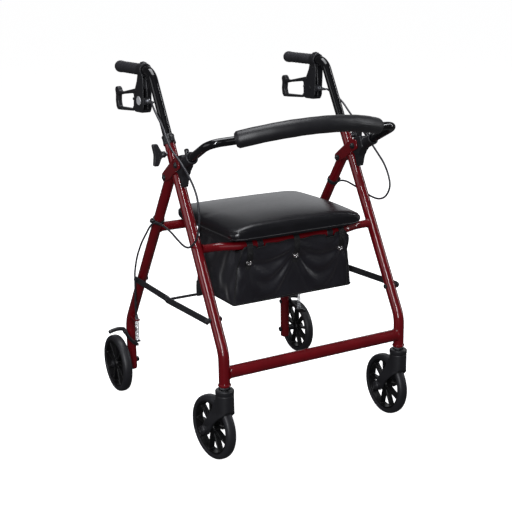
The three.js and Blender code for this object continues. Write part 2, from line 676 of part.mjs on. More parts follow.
const BUTTON = { reach: 44, radius: 5.5, low: 13.4, high: 27 };
function backrestSocket(side) {
  const half = FRONT_LEG.radius - GAP;
  const shape = outline([
    [-105, 641], [-94, 646], [-90, 656], [-92, 670], [-104, 679], [-130, 686], [-140, 660], [-128, 648],
    [-122, 636], [-120, 613], [-110, 611],
  ]);
  const lug = solid(plate(shape, side * SIDE_X - half, side * SIDE_X + half));
  const barrelX = side * HOOP.halfWidth;
  const barrel = solid(rod(onHoop(barrelX, 22), onHoop(barrelX, 64), 13.6, 12));
  const bore = solid(rod(onHoop(barrelX, 33), onHoop(barrelX, 90), HOOP.radius + GAP * 2, 12));
  const buttonHole = rod(onHoop(barrelX, BUTTON.reach, 8), onHoop(barrelX, BUTTON.reach, 40), BUTTON.radius + GAP * 2);
  const holeRadius = PIN_RADIUS + GAP * 2;
  const [hole0, hole1] = [side * SIDE_X - 20, side * SIDE_X + 20];
  const pinHole = crossPin(hole0, hole1, HOOP_PIVOT.y, HOOP_PIVOT.z, holeRadius, HOLE_SIDES);
  return fromSolid(cut(lug.add(barrel), [bore, solid(buttonHole), solid(pinHole)]));
}

function backrestButton(side) {
  const x = side * HOOP.halfWidth;
  return rod(onHoop(x, BUTTON.reach, BUTTON.low), onHoop(x, BUTTON.reach, BUTTON.high), BUTTON.radius);
}

// ---- seat ----
function roundedSlab(halfWidth, frontY, rearY, lowZ, highZ, corner, edge) {
  const inset = edge;
  const [x, y0, y1] = [halfWidth - inset, frontY + inset, rearY - inset];
  const r = Math.max(1, corner - inset);
  const shape = new THREE.Shape();
  shape.absarc(x - r, y1 - r, r, 0, Math.PI / 2);
  shape.absarc(-x + r, y1 - r, r, Math.PI / 2, Math.PI);
  shape.absarc(-x + r, y0 + r, r, Math.PI, 1.5 * Math.PI);
  shape.absarc(x - r, y0 + r, r, 1.5 * Math.PI, 2 * Math.PI);
  shape.closePath();
  const bevel = { bevelEnabled: edge > 0, bevelThickness: edge, bevelSize: edge, bevelSegments: 1 };
  const geometry = new THREE.ExtrudeGeometry(shape, { depth: highZ - lowZ - 2 * edge, curveSegments: 3, ...bevel });
  geometry.translate(0, 0, lowZ + edge);
  return geometry;
}

const seatBoardSize = [SEAT.halfWidth - SEAT.boardInset, SEAT.frontY + SEAT.boardInset, SEAT.rearY - SEAT.boardInset];
function seatBoard() {
  return roundedSlab(...seatBoardSize, SEAT.bottomZ, SEAT.bottomZ + 8, SEAT.corner - SEAT.boardInset, 0);
}

function seatPad() {
  const [x, y0, y1] = seatBoardSize;
  const corner = SEAT.corner - SEAT.boardInset + GAP;
  const room = roundedSlab(x + GAP, y0 - GAP, y1 + GAP, SEAT.bottomZ - 5, SEAT.bottomZ + 8 + GAP, corner, 0);
  const pad = roundedSlab(SEAT.halfWidth, SEAT.frontY, SEAT.rearY, SEAT.bottomZ, SEAT.topZ, SEAT.corner, 6);
  return fromSolid(solid(pad).subtract(solid(room)));
}

function seatHinge(side) {
  const x = side * HINGE_X;
  const at = (offset) => vec(x + offset, SEAT_BAR.frontY, SEAT_BAR.z);
  const ring = solid(rod(at(-11), at(11), 13, 12));
  const top = SEAT.bottomZ - GAP;
  const foot = solid(box(x - 11, x + 11, SEAT_BAR.frontY - 16, SEAT_BAR.frontY + 30, SEAT_BAR.z + 10.8, top));
  const bore = solid(rod(at(-20), at(20), SEAT_BAR.radius + 0.8, 12));
  return fromSolid(ring.add(foot).subtract(bore));
}

// ---- bag: a tapered open box that hangs under the front bar ----
function bag() {
  const trapezoid = (bottomHalf, topHalf, lowZ, highZ, y0, y1) => {
    const shape = outline([[-bottomHalf, lowZ], [bottomHalf, lowZ], [topHalf, highZ], [-topHalf, highZ]]);
    const geometry = new THREE.ExtrudeGeometry(shape, { depth: y1 - y0, bevelEnabled: false });
    geometry.rotateX(Math.PI / 2);
    geometry.translate(0, y1, 0);
    return solid(geometry);
  };
  const { bottomHalf, topHalf, bottomZ, topZ, frontY, rearY, wall } = BAG;
  const outer = trapezoid(bottomHalf, topHalf, bottomZ, topZ, frontY, rearY);
  const low = bottomZ + wall;
  const inner = trapezoid(bottomHalf - wall, topHalf - wall, low, topZ + 5, frontY + wall, rearY - wall);
  return fromSolid(outer.subtract(inner));
}

// ---- assembly ----
add("lower_crossbar", lowerCrossbar(), "frame");
add("seat_bar", seatBar(), "frame");
add("rear_crossbar", rearCrossbar(), "frame");
add("cross_rod", crossRod(), "blackSteel");
add("backrest_tube", backrestTube(), "blackTube");
add("backrest_pad", backrestPad(), "foam");
add("seat_board", seatBoard(), "plastic");
add("seat_pad", seatPad(), "vinyl");
add("bag", bag(), "fabric");

for (const [name, side] of [["left", -1], ["right", 1]]) {
  add(`front_leg_${name}`, frontLeg(side), "frame");
  add(`fold_bracket_${name}`, foldBracket(side), "frame");
  add(`height_collar_${name}`, heightCollar(side), "plastic");
  add(`height_knob_${name}`, heightKnob(side), "plastic");
  add(`caster_stem_${name}`, casterStem(side), "zinc");
  add(`rear_leg_${name}`, rearLeg(side), "frame");
  add(`rear_axle_${name}`, rearAxle(side), "zinc");
  add(`brace_front_${name}`, brace(side, bracePoints.front, FRONT_BRACE_X), "blackSteel");
  add(`brace_rear_${name}`, brace(side, bracePoints.rear, REAR_BRACE_X), "blackSteel");
  add(`brake_arm_${name}`, brakeArm(side), "blackSteel");
  add(`brake_spring_${name}`, brakeSpring(side), "zinc");
  add(`brake_cable_${name}`, brakeCable(side, name), "plastic");
  add(`backrest_socket_${name}`, backrestSocket(side), "plastic");
  add(`backrest_button_${name}`, backrestButton(side), "plastic");
  add(`seat_hinge_${name}`, seatHinge(side), "plastic");

  const rearWheel = new THREE.Group();
  rearWheel.position.set(side * REAR_WHEEL_X, REAR_LEG.axleY, WHEEL.radius);
  walker.add(rearWheel);
  add(`rear_rim_${name}`, rim(), "rim", rearWheel);
  add(`rear_tyre_${name}`, tyre(), "tyre", rearWheel);

  const caster = new THREE.Group();
  caster.position.set(side * SIDE_X, FRONT_LEG.stemY, 0);
  caster.rotation.z = -degrees(CASTER_TURN[name]);
  walker.add(caster);
  add(`caster_fork_${name}`, casterFork(), "plastic", caster);
  add(`caster_axle_${name}`, casterAxle(), "zinc", caster);
  const casterWheel = new THREE.Group();
  casterWheel.position.set(0, CASTER_TRAIL, WHEEL.radius);
  caster.add(casterWheel);
  add(`caster_rim_${name}`, rim(), "rim", casterWheel);
  add(`caster_tyre_${name}`, tyre(), "tyre", casterWheel);

  add(`handle_tube_${name}`, handleTube(side), "blackTube");
  const top = handleTop(side);
  walker.add(top);
  add(`grip_${name}`, grip(), "grip", top);
  add(`brake_housing_${name}`, brakeHousing(), "plastic", top);
  add(`brake_lever_${name}`, brakeLever(), "plastic", top);
}

export default walker;
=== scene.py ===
import math

import bmesh
import bpy
import numpy as np
from mathutils import Matrix, Vector
from mathutils.bvhtree import BVHTree


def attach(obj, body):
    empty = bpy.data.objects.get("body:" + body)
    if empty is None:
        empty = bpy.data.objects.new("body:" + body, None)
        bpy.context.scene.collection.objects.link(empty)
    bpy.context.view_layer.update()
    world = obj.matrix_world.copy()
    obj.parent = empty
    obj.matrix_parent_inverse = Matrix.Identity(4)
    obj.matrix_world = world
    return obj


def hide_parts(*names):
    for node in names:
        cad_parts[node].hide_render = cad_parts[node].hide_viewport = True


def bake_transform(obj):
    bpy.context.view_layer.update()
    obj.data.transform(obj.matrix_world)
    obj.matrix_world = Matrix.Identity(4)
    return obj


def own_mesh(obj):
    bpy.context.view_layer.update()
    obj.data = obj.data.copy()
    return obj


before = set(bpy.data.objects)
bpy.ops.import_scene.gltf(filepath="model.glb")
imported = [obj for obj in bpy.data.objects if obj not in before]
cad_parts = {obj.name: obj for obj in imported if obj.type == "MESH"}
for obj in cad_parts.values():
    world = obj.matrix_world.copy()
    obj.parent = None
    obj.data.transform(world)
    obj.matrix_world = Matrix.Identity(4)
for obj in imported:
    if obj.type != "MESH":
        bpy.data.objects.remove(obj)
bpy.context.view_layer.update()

# Sizes are in millimetres, as in the part's source, and become metres where a mesh is made.
MM = 0.001
SIDES = (("left", -1), ("right", 1))
NEARLY_STRAIGHT = 1.53  # half the angle at a corner, in radians, above which it is left alone

# ---- driving dimensions, the same as the part's unless a comment says otherwise ----
SIDE_X = 240
LEG_R = 12.7
REAR_LEG_R = 12.4
FRONT_LEG = {"stem_y": -285.4, "foot": 190, "bend": 265, "top": 700, "lean": 0.557}
REAR_LEG = {"axle_y": 250.6, "foot": 52, "bend": 188, "lean": 0.672}
BEND_RADIUS = 75
HOOP_PIVOT = (-106, 660)
FOLD_PIVOT_Z = 622
WHEEL_R = 76.2
REAR_WHEEL_X = 281
CASTER_TRAIL = 46.8
CASTER_TURN = {"left": -7, "right": 1}
GRIP_Z = 857
FLARE = 0.8  # degrees that each handle turns outwards; the solids turn 2.5, which the look doesn't follow
KNOB_Z = 678
COLLAR_Z = 697
LOWER_BAR_Z = 220.5
REAR_BAR_Z = 483.4
HOOP = {"half": 243, "radius": 340, "depth": 222.1, "slope": 25.7, "drop": 4}
BRACE = {"front_z": 334, "rear_z": 328, "middle": (-36.4, 327)}
FRONT_BRACE_X = 258.2
REAR_BRACE_X = 254.4
BRAKE_PIVOT = (250.6, 160)
TAB_Z = 210
SPRING = (248, 186)
SEAT_BAR = {"z": 476, "y": -191.4, "radius": 9.5}


def front_leg_y(z):
    """Where the middle of a front leg is at a height above its bend."""
    return FRONT_LEG["stem_y"] + FRONT_LEG["lean"] * max(0, z - FRONT_LEG["bend"])


def rear_leg_y(z):
    """The same for a rear leg."""
    return REAR_LEG["axle_y"] - REAR_LEG["lean"] * max(0, z - REAR_LEG["bend"])


FOLD_PIVOT = (rear_leg_y(FOLD_PIVOT_Z), FOLD_PIVOT_Z)
FRONT_LEAN = math.atan(FRONT_LEG["lean"])


def clamp(value):
    return np.clip(value, 0, 1)


def smooth_step(value):
    t = clamp(value)
    return t * t * (3 - 2 * t)


# ---- shapes: each function gives (vertices in mm, faces) ----
def unit(v):
    v = np.asarray(v, float)
    return v / np.linalg.norm(v)


def corner_arc(before, at, after, radius, steps, room=math.inf):
    """The arc that rounds the corner at a point, or the point alone where the line is almost straight."""
    back, ahead = unit(before - at), unit(after - at)
    half = math.acos(np.clip(back @ ahead, -1, 1)) / 2
    if radius <= 0 or half > NEARLY_STRAIGHT:
        return [at]
    reach = min(radius / math.tan(half), room)
    centre = at + unit(back + ahead) * reach * math.tan(half) / math.sin(half)
    a, b = at + back * reach - centre, at + ahead * reach - centre
    turn = math.pi - 2 * half
    return [centre + (a * math.sin((1 - s) * turn) + b * math.sin(s * turn)) / math.sin(turn)
            for s in (k / steps for k in range(steps + 1))]


def rounded_route(corners, radius, steps=10):
    """Corners joined by straight lines, each inner corner rounded to the radius."""
    corners = [np.asarray(c, float) for c in corners]
    points = [corners[0]]
    for before, at, after in zip(corners, corners[1:], corners[2:]):
        points += corner_arc(before, at, after, radius, steps)
    return [*points, corners[-1]]


def distances(line):
    """How far along a line each of its points is."""
    return np.concatenate([[0], np.cumsum(np.linalg.norm(np.diff(line, axis=0), axis=1))])


def spline(points, count):
    """A smooth line through the points, evenly spaced."""
    p = np.array(points, float)
    p = np.vstack([2 * p[0] - p[1], p, 2 * p[-1] - p[-2]])
    out = []
    for i in range(1, len(p) - 2):
        for t in np.linspace(0, 1, 12, endpoint=False):
            a, b, c, d = p[i - 1 : i + 3]
            square, cube = 2 * a - 5 * b + 4 * c - d, 3 * b - a - 3 * c + d
            out.append(0.5 * (2 * b + (c - a) * t + square * t**2 + cube * t**3))
    out.append(p[-2])
    out = np.array(out)
    along = distances(out)
    at = np.linspace(0, along[-1], count)
    return np.stack([np.interp(at, along, out[:, k]) for k in range(3)], axis=1)


def ring_faces(rings, sides, cap=True):
    """Faces between rings of points that lie one after another, with an end face at both ends."""
    faces = []
    for b in range(sides, rings * sides, sides):
        a = b - sides
        faces += [(a + k, a + (k + 1) % sides, b + (k + 1) % sides, b + k) for k in range(sides)]
    if cap:
        last = (rings - 1) * sides
        faces += [tuple(range(sides))[::-1], tuple(range(last, last + sides))]
    return faces


def sweep(points, radius, sides, cap=True):
    """A round section along points. radius is a number, or one for each point."""
    p = np.array(points, float)
    radii = np.broadcast_to(np.asarray(radius, float), (len(p),))
    tangents = np.gradient(p, axis=0)
    tangents /= np.linalg.norm(tangents, axis=1)[:, None]
    normal = np.array((1.0, 0, 0) if abs(tangents[0][0]) <= 0.9 else (0, 0, 1.0))
    verts = []
    angles = np.arange(sides) * 2 * math.pi / sides
    for at, t, r in zip(p, tangents, radii):
        normal = unit(normal - t * (normal @ t))
        other = np.cross(t, normal)
        ring = np.cos(angles)[:, None] * normal + np.sin(angles)[:, None] * other
        verts.append(at + ring * r)
    return np.vstack(verts), ring_faces(len(p), sides, cap)


def frame_of(along):
    """Two directions square to a line, and the line's own."""
    along = unit(along)
    hint = np.array((1.0, 0, 0)) if abs(along[0]) < 0.9 else np.array((0, 0, 1.0))
    first = unit(hint - along * (hint @ along))
    return first, np.cross(along, first), along


def lathe(profile, at, along, segments=40):
    """Turns (radius, height) pairs about a line. Closed where the radius is 0."""
    first, second, axis = frame_of(along)
    at = np.asarray(at, float)
    verts, faces, rows = [], [], []
    for radius, height in profile:
        if radius <= 1e-6:
            rows.append([len(verts)])
            verts.append(at + axis * height)
            continue
        rows.append(list(range(len(verts), len(verts) + segments)))
        for k in range(segments):
            angle = 2 * math.pi * k / segments
            verts.append(at + axis * height + radius * (first * math.cos(angle) + second * math.sin(angle)))
    for low, high in zip(rows, rows[1:]):
        for k in range(segments):
            n = (k + 1) % segments
            if len(low) == 1 and len(high) == 1:
                continue
            if len(low) == 1:
                faces.append((low[0], high[n], high[k]))
            elif len(high) == 1:
                faces.append((low[k], low[n], high[0]))
            else:
                faces.append((low[k], low[n], high[n], high[k]))
    return np.array(verts), faces


def rod(a, b, radius, bevel=0.4):
    a, b = np.asarray(a, float), np.asarray(b, float)
    length = np.linalg.norm(b - a)
    half = [(0, 0), (radius - bevel, 0), (radius, bevel)]
    return lathe([*half, *[(r, length - h) for r, h in half[::-1]]], a, b - a, 32)


def dome(at, along, radius, height):
    """A domed bolt head with a thin edge and a shallow round recess."""
    profile = [(0, 0), (radius, 0), (radius, height * 0.25)]
    profile += [(radius * math.cos(a), height * (0.25 + 0.75 * math.sin(a)))
                for a in np.linspace(0.15, 1.15, 7)]
    profile += [(radius * 0.34, height * 0.93), (radius * 0.28, height * 0.55), (0, height * 0.55)]
    return lathe(profile, at, along, 28)


def nut(at, along, radius, height):
    """A hexagon nut with chamfered corners."""
    half = [(0, 0), (radius * 0.9, 0), (radius, height * 0.15)]
    return lathe([*half, *[(r, height - h) for r, h in half[::-1]]], at, along, 6)


def x_rod(side, x0, x1, y, z, radius, bevel=0.4):
    """A rod along X on one side, between two distances from the middle."""
    return rod((side * x0, y, z), (side * x1, y, z), radius, bevel)


def x_nut(side, x, y, z, radius, height):
    """A nut on one side that faces inwards."""
    return nut((side * x, y, z), (-side, 0, 0), radius, height)


def x_head(side, x, y, z, radius, height, way=1):
    """A domed head on one side that faces outwards, or inwards when way is -1."""
    return dome((side * x, y, z), (way * side, 0, 0), radius, height)


def helix(at, along, radius, wire, turns, length):
    """A coil spring."""
    first, second, axis = frame_of(along)
    points = []
    steps = int(turns * 18)
    for k in range(steps + 1):
        angle = 2 * math.pi * turns * k / steps
        around = first * math.cos(angle) + second * math.sin(angle)
        points.append(np.asarray(at) + axis * length * k / steps + radius * around)
    return sweep(points, wire, 8)


def round_corners(points, radius, steps=5):
    """A closed outline whose corners are arcs. A point may carry its own radius as a third number."""
    out = []
    count = len(points)
    for i in range(count):
        before, at, after = (np.array(points[j % count][:2], float) for j in (i - 1, i, i + 1))
        own_radius = points[i][2] if len(points[i]) > 2 else radius
        room = 0.48 * min(np.linalg.norm(before - at), np.linalg.norm(after - at))
        out += corner_arc(before, at, after, own_radius, steps, room)
    return out


def link(a, b, radius_a, radius_b, count):
    """A bar outline with two round ends."""
    direction = math.atan2(b[1] - a[1], b[0] - a[0])
    out = []
    for centre, radius, start in ((a, radius_a, direction + math.pi / 2),
                                  (b, radius_b, direction - math.pi / 2)):
        angles = [start + math.pi * k / count for k in range(count + 1)]
        out += [(centre[0] + radius * math.cos(a), centre[1] + radius * math.sin(a)) for a in angles]
    return out


def new_object(name, data):
    obj = bpy.data.objects.new(name, data)
    bpy.context.scene.collection.objects.link(obj)
    return obj


def mesh_arrays(obj):
    """An object's shape after its modifiers."""
    depsgraph = bpy.context.evaluated_depsgraph_get()
    made = obj.evaluated_get(depsgraph)
    mesh = made.to_mesh()
    co = np.zeros(len(mesh.vertices) * 3, np.float32)
    mesh.vertices.foreach_get("co", co)
    faces = [tuple(p.vertices) for p in mesh.polygons]
    made.to_mesh_clear()
    return co.reshape(-1, 3).astype(float), faces


PLANES = {
    "yz": lambda u, v, w: np.stack([w, u, v], axis=1),
    "xz": lambda u, v, w: np.stack([u, -w, v], axis=1),
    "xy": lambda u, v, w: np.stack([u, v, w], axis=1),
}


def slab(outline, low, high, plane="yz", bevel=0.6, holes=()):
    """A flat outline made thick from low to high across its plane, with rounded edges and any holes."""
    curve = bpy.data.curves.new("slab", "CURVE")
    curve.dimensions, curve.fill_mode = "2D", "BOTH"
    for k, loop in enumerate((outline, *holes)):
        area = sum(a[0] * b[1] - b[0] * a[1] for a, b in zip(loop, [*loop[1:], loop[0]]))
        if (area > 0) != (k == 0):
            loop = loop[::-1]
        line = curve.splines.new("POLY")
        line.points.add(len(loop) - 1)
        for point, target in zip(loop, line.points):
            target.co = (point[0], point[1], 0, 1)
        line.use_cyclic_u = True
    curve.extrude = abs(high - low) / 2 - bevel
    curve.bevel_depth, curve.bevel_resolution, curve.offset = bevel, 2, -bevel
    obj = new_object("slab", curve)
    verts, faces = welded(*mesh_arrays(obj))
    bpy.data.objects.remove(obj)
    bpy.data.curves.remove(curve)
    return PLANES[plane](verts[:, 0], verts[:, 1], verts[:, 2] + (low + high) / 2), faces


def welded(verts, faces):
    """One closed mesh from faces that only lie edge to edge, every face turned outwards."""
    mesh = bpy.data.meshes.new("weld")
    mesh.from_pydata([tuple(v) for v in verts], [], faces)
    bm = bmesh.new()
    bm.from_mesh(mesh)
    bmesh.ops.remove_doubles(bm, verts=bm.verts, dist=0.02)
    bmesh.ops.recalc_face_normals(bm, faces=bm.faces)
    bm.verts.index_update()
    out = np.array([tuple(v.co) for v in bm.verts]), [tuple(v.index for v in f.verts) for f in bm.faces]
    bm.free()
    bpy.data.meshes.remove(mesh)
    return out


def moved(shape, matrix):
    """A shape turned and shifted by a matrix in mm."""
    verts, faces = shape
    m = np.array(matrix)
    return verts @ m[:3, :3].T + m[:3, 3], faces


def tube_shell(points, radius, bore):
    """A hollow tube with open ends."""
    sides = 36
    (outer, faces), (inner, more) = sweep(points, radius, sides, False), sweep(points, bore, sides, False)
    start, last = len(outer), len(outer) - sides
    rims = [(k, (k + 1) % sides, start + (k + 1) % sides, start + k) for k in range(sides)]
    rims += [(last + k, last + (k + 1) % sides, start + last + (k + 1) % sides, start + last + k)
             for k in range(sides)]
    return np.vstack([outer, inner]), [*faces, *[tuple(i + start for i in f[::-1]) for f in more], *rims]


def joined(*shapes):
    """Shapes as one, without merging them."""
    verts, faces, start = [], [], 0
    for v, f in shapes:
        verts.append(np.asarray(v, float))
        faces += [tuple(i + start for i in face) for face in f]
        start += len(v)
    return np.vstack(verts), faces


def temp(shape, name="temp"):
    """A passing object for modifiers to work on."""
    mesh = bpy.data.meshes.new(name)
    mesh.from_pydata([tuple(v) for v in shape[0]], [], shape[1])
    outward(mesh)
    return new_object(name, mesh)


def outward(mesh):
    """Turns every face outwards."""
    bm = bmesh.new()
    bm.from_mesh(mesh)
    bmesh.ops.recalc_face_normals(bm, faces=bm.faces)
    bm.to_mesh(mesh)
    bm.free()
    mesh.update()


def discard(*objects):
    for obj in objects:
        mesh = obj.data
        bpy.data.objects.remove(obj)
        bpy.data.meshes.remove(mesh)


def moulded(add, cut=(), *, voxel, smooth, keep=()):
    """Solids joined and cut, then softened at every edge as a moulding is."""
    base = temp(add[0])
    extra = []
    for operation, shapes in (("UNION", add[1:]), ("INTERSECT", keep), ("DIFFERENCE", cut)):
        for shape in shapes:
            other = temp(shape)
            extra.append(other)
            modifier = base.modifiers.new("cut", "BOOLEAN")
            modifier.operation, modifier.object, modifier.solver = operation, other, "EXACT"
    remesh = base.modifiers.new("remesh", "REMESH")
    remesh.mode, remesh.voxel_size = "VOXEL", voxel
    relax = base.modifiers.new("relax", "SMOOTH")
    relax.factor, relax.iterations = 0.5, smooth
    shape = mesh_arrays(base)
    discard(base, *extra)
    return shape


def piece(name, shape, material, body, replaces=(), slot=None, sharp=38):
    """The finished piece: metres, smooth shading with sharp edges kept, its material and body. slot is not
    used.
    """
    mesh = bpy.data.meshes.new(name)
    mesh.from_pydata([tuple(v * MM) for v in shape[0]], [], shape[1])
    mesh.validate()
    outward(mesh)
    mesh.shade_smooth()
    if sharp:
        mesh.set_sharp_from_angle(angle=math.radians(sharp))
    mesh.materials.append(MATERIALS[material])
    obj = new_object(name, mesh)
    if body:
        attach(obj, body)
    if replaces:
        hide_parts(*replaces)
    return obj


def skin(base, name, shape, material, body, **more):
    """The piece that stands for one side's solid."""
    return piece(f"{base}_skin_{name}", shape, material, body, [f"{base}_{name}"], **more)


# ---- materials: every one is procedural, in object coordinates ----
MATERIALS = {}


def surface(name, colour, roughness, metallic, mottle, uneven, grain=None, fine=None, **sockets):
    """A Principled material with cloudy colour, uneven roughness and up to two layers of bump.
    grain and fine are (kind, scale per metre, strength, depth in metres)."""
    material = bpy.data.materials.new(name)
    material.use_nodes = True
    nodes, links = material.node_tree.nodes, material.node_tree.links
    shader = nodes["Principled BSDF"]
    where = nodes.new("ShaderNodeTexCoord").outputs["Object"]
    cloud = pattern(nodes, links, where, "Noise", Scale=28, Detail=5)
    ramp = nodes.new("ShaderNodeValToRGB")
    ramp.color_ramp.elements[0].position, ramp.color_ramp.elements[1].position = 0.3, 0.7
    ramp.color_ramp.elements[0].color = (*[c * (1 - mottle) for c in colour], 1)
    ramp.color_ramp.elements[1].color = (*[c * (1 + mottle) for c in colour], 1)
    links.new(cloud.outputs["Fac"], ramp.inputs["Fac"])
    links.new(ramp.outputs["Color"], shader.inputs["Base Color"])
    patches = pattern(nodes, links, where, "Noise", Scale=90, Detail=3)
    spread = nodes.new("ShaderNodeMapRange")
    spread.inputs["To Min"].default_value = max(0.02, roughness - uneven)
    spread.inputs["To Max"].default_value = min(1, roughness + uneven)
    links.new(patches.outputs["Fac"], spread.inputs["Value"])
    links.new(spread.outputs["Result"], shader.inputs["Roughness"])
    shader.inputs["Metallic"].default_value = metallic
    normal = None
    for layer in (grain, fine):
        if not layer:
            continue
        kind, scale, strength, depth = layer
        height = texture(nodes, links, where, kind, scale)
        bump = nodes.new("ShaderNodeBump")
        bump.inputs["Strength"].default_value = strength
        bump.inputs["Distance"].default_value = depth
        links.new(height, bump.inputs["Height"])
        if normal:
            links.new(normal, bump.inputs["Normal"])
        normal = bump.outputs["Normal"]
    if normal:
        links.new(normal, shader.inputs["Normal"])
    for socket, value in sockets.items():
        shader.inputs[socket.replace("_", " ")].default_value = value
    MATERIALS[name] = material
    return material


def pattern(nodes, links, where, kind, **inputs):
    """A texture node in object coordinates, with its inputs set."""
    node = nodes.new(f"ShaderNodeTex{kind}")
    for socket, value in inputs.items():
        node.inputs[socket].default_value = value
    links.new(where, node.inputs["Vector"])
    return node


def texture(nodes, links, where, kind, scale):
    """The height output of a bump texture: noise, cells (leather) or weave."""
    if kind == "noise":
        return pattern(nodes, links, where, "Noise", Scale=scale, Detail=3).outputs["Fac"]
    if kind == "cells":
        node = pattern(nodes, links, where, "Voronoi", Scale=scale)
        node.feature = "SMOOTH_F1"
        return node.outputs["Distance"]
    cross = nodes.new("ShaderNodeMath")
    cross.operation = "MULTIPLY"
    for direction, threads in zip(("X", "Z"), cross.inputs):
        node = pattern(nodes, links, where, "Wave", Scale=scale, Distortion=0.6)
        node.bands_direction = direction
        links.new(node.outputs["Fac"], threads)
    return cross.outputs["Value"]


surface("paint", (0.135, 0.0012, 0.0045), 0.45, 0.0, 0.14, 0.05, Specular_IOR_Level=0.12, Coat_Weight=1.0,
        Coat_Roughness=0.05)
surface("gloss_black", (0.0042, 0.0041, 0.005), 0.3, 0.0, 0.1, 0.04, Specular_IOR_Level=0.06,
        Coat_Weight=1.0, Coat_Roughness=0.06)
surface("satin_steel", (0.030, 0.030, 0.034), 0.4, 0.3, 0.2, 0.08, fine=("noise", 1500, 0.08, 0.0003))
surface("plastic", (0.0135, 0.0133, 0.0158), 0.42, 0.0, 0.15, 0.06, fine=("noise", 1300, 0.08, 0.0003))
# The rim is much darker than the fork's plastic: partly its own black plastic, partly painted shade that
# stands for the shade inside the wheel between the tyre's walls.
surface("rim_plastic", (0.0036, 0.0034, 0.0040), 0.4, 0.0, 0.12, 0.05, fine=("noise", 1200, 0.05, 0.0003),
        Specular_IOR_Level=0.35)
surface("tyre", (0.0155, 0.0152, 0.0184), 0.46, 0.0, 0.16, 0.06, grain=("noise", 240, 0.04, 0.0006),
        fine=("noise", 1800, 0.08, 0.0003))
surface("grip", (0.022, 0.0215, 0.0255), 0.5, 0.0, 0.15, 0.07, fine=("noise", 2200, 0.14, 0.0003))
surface("vinyl", (0.0070, 0.0068, 0.0085), 0.31, 0.0, 0.12, 0.03, grain=("cells", 520, 0.07, 0.0004),
        fine=("noise", 2400, 0.03, 0.0003))
surface("foam", (0.0105, 0.0103, 0.0125), 0.42, 0.0, 0.15, 0.05, grain=("noise", 1100, 0.08, 0.0004),
        Sheen_Weight=0.03)
surface("nylon", (0.0105, 0.0101, 0.0138), 0.42, 0.0, 0.15, 0.05, grain=("noise", 45, 0.15, 0.003),
        fine=("weave", 420, 0.16, 0.0003), Sheen_Weight=0.12, Sheen_Roughness=0.4)
surface("webbing", (0.0040, 0.0039, 0.0046), 0.6, 0.0, 0.2, 0.06, fine=("weave", 300, 0.4, 0.0005))
surface("zinc", (0.60, 0.61, 0.64), 0.28, 1.0, 0.1, 0.1, fine=("noise", 900, 0.08, 0.0003))
surface("chrome", (0.82, 0.80, 0.80), 0.22, 1.0, 0.05, 0.05, fine=("noise", 600, 0.03, 0.0002))
surface("cable", (0.030, 0.030, 0.036), 0.34, 0.0, 0.1, 0.05, fine=("noise", 1000, 0.05, 0.0003))
surface("disc_face", (0.62, 0.62, 0.64), 0.35, 0.1, 0.12, 0.08, fine=("noise", 900, 0.06, 0.0003))
surface("stitch", (0.09, 0.09, 0.095), 0.6, 0.0, 0.2, 0.06, fine=("noise", 2500, 0.2, 0.0003))


# ---- front frame ----
def flared(points, radius):
    """Points and radii of a straight or bent bar that flares into a weld at both ends."""
    reach, extra, count = 9, 2.2, 6
    p = np.array(points, float)
    head = [p[0] + unit(p[1] - p[0]) * reach * k / count for k in range(count)]
    tail = [p[-1] + unit(p[-2] - p[-1]) * reach * k / count for k in range(count)]
    bead = [radius + extra * (1 - k / count) ** 2 for k in range(count)]
    middle = list(p[1:-1])
    return [*head, *middle, *tail[::-1]], [*bead, *[radius] * len(middle), *bead[::-1]]


def dense_radii(points, radii, step=14):
    """More points on the long straight stretches, so that shading and bump stay even, and their radii."""
    out, r = [np.asarray(points[0], float)], [radii[0]]
    for a, b, ra, rb in zip(points, points[1:], radii, radii[1:]):
        a, b = np.asarray(a, float), np.asarray(b, float)
        n = max(1, int(np.linalg.norm(b - a) / step))
        out += [a + (b - a) * k / n for k in range(1, n + 1)]
        r += [ra + (rb - ra) * k / n for k in range(1, n + 1)]
    return out, r


def dense(points, step=14):
    return dense_radii(points, [0] * len(points), step)[0]


def front_leg(side, name):
    x = side * SIDE_X
    route = rounded_route([(x, FRONT_LEG["stem_y"], FRONT_LEG["foot"]),
                           (x, FRONT_LEG["stem_y"], FRONT_LEG["bend"]),
                           (x, front_leg_y(FRONT_LEG["top"]), FRONT_LEG["top"])], BEND_RADIUS)
    leg = tube_shell(dense(route), LEG_R, LEG_R - 1.2)
    ring = lathe([(11, -0.5), (13.6, 0), (14.8, 1.6), (14.8, 3.6), (13.4, 5.2), (12.6, 6.4), (12, 6.5)],
                 (x, FRONT_LEG["stem_y"], FRONT_LEG["foot"] + 0.5), (0, 0, 1))
    skin("front_leg", name, joined(leg, ring), "paint", "front_frame")


def bolt_set(side, x_out, x_in, y, z, name, nut_radius, head_radius):
    """A domed head on the outer side and a nut on the inner one, both on washers."""
    washer = 1.2
    piece(name, joined(x_rod(side, x_out - washer, x_out, y, z, head_radius + 1.6),
                       x_head(side, x_out, y, z, head_radius, 4.2),
                       x_rod(side, x_in, x_in - washer, y, z, nut_radius + 1.4),
                       x_nut(side, x_in - washer, y, z, nut_radius, 4.6),
                       x_rod(side, x_in - 5, x_in - 8, y, z, 2.6)), "plastic", "front_frame")


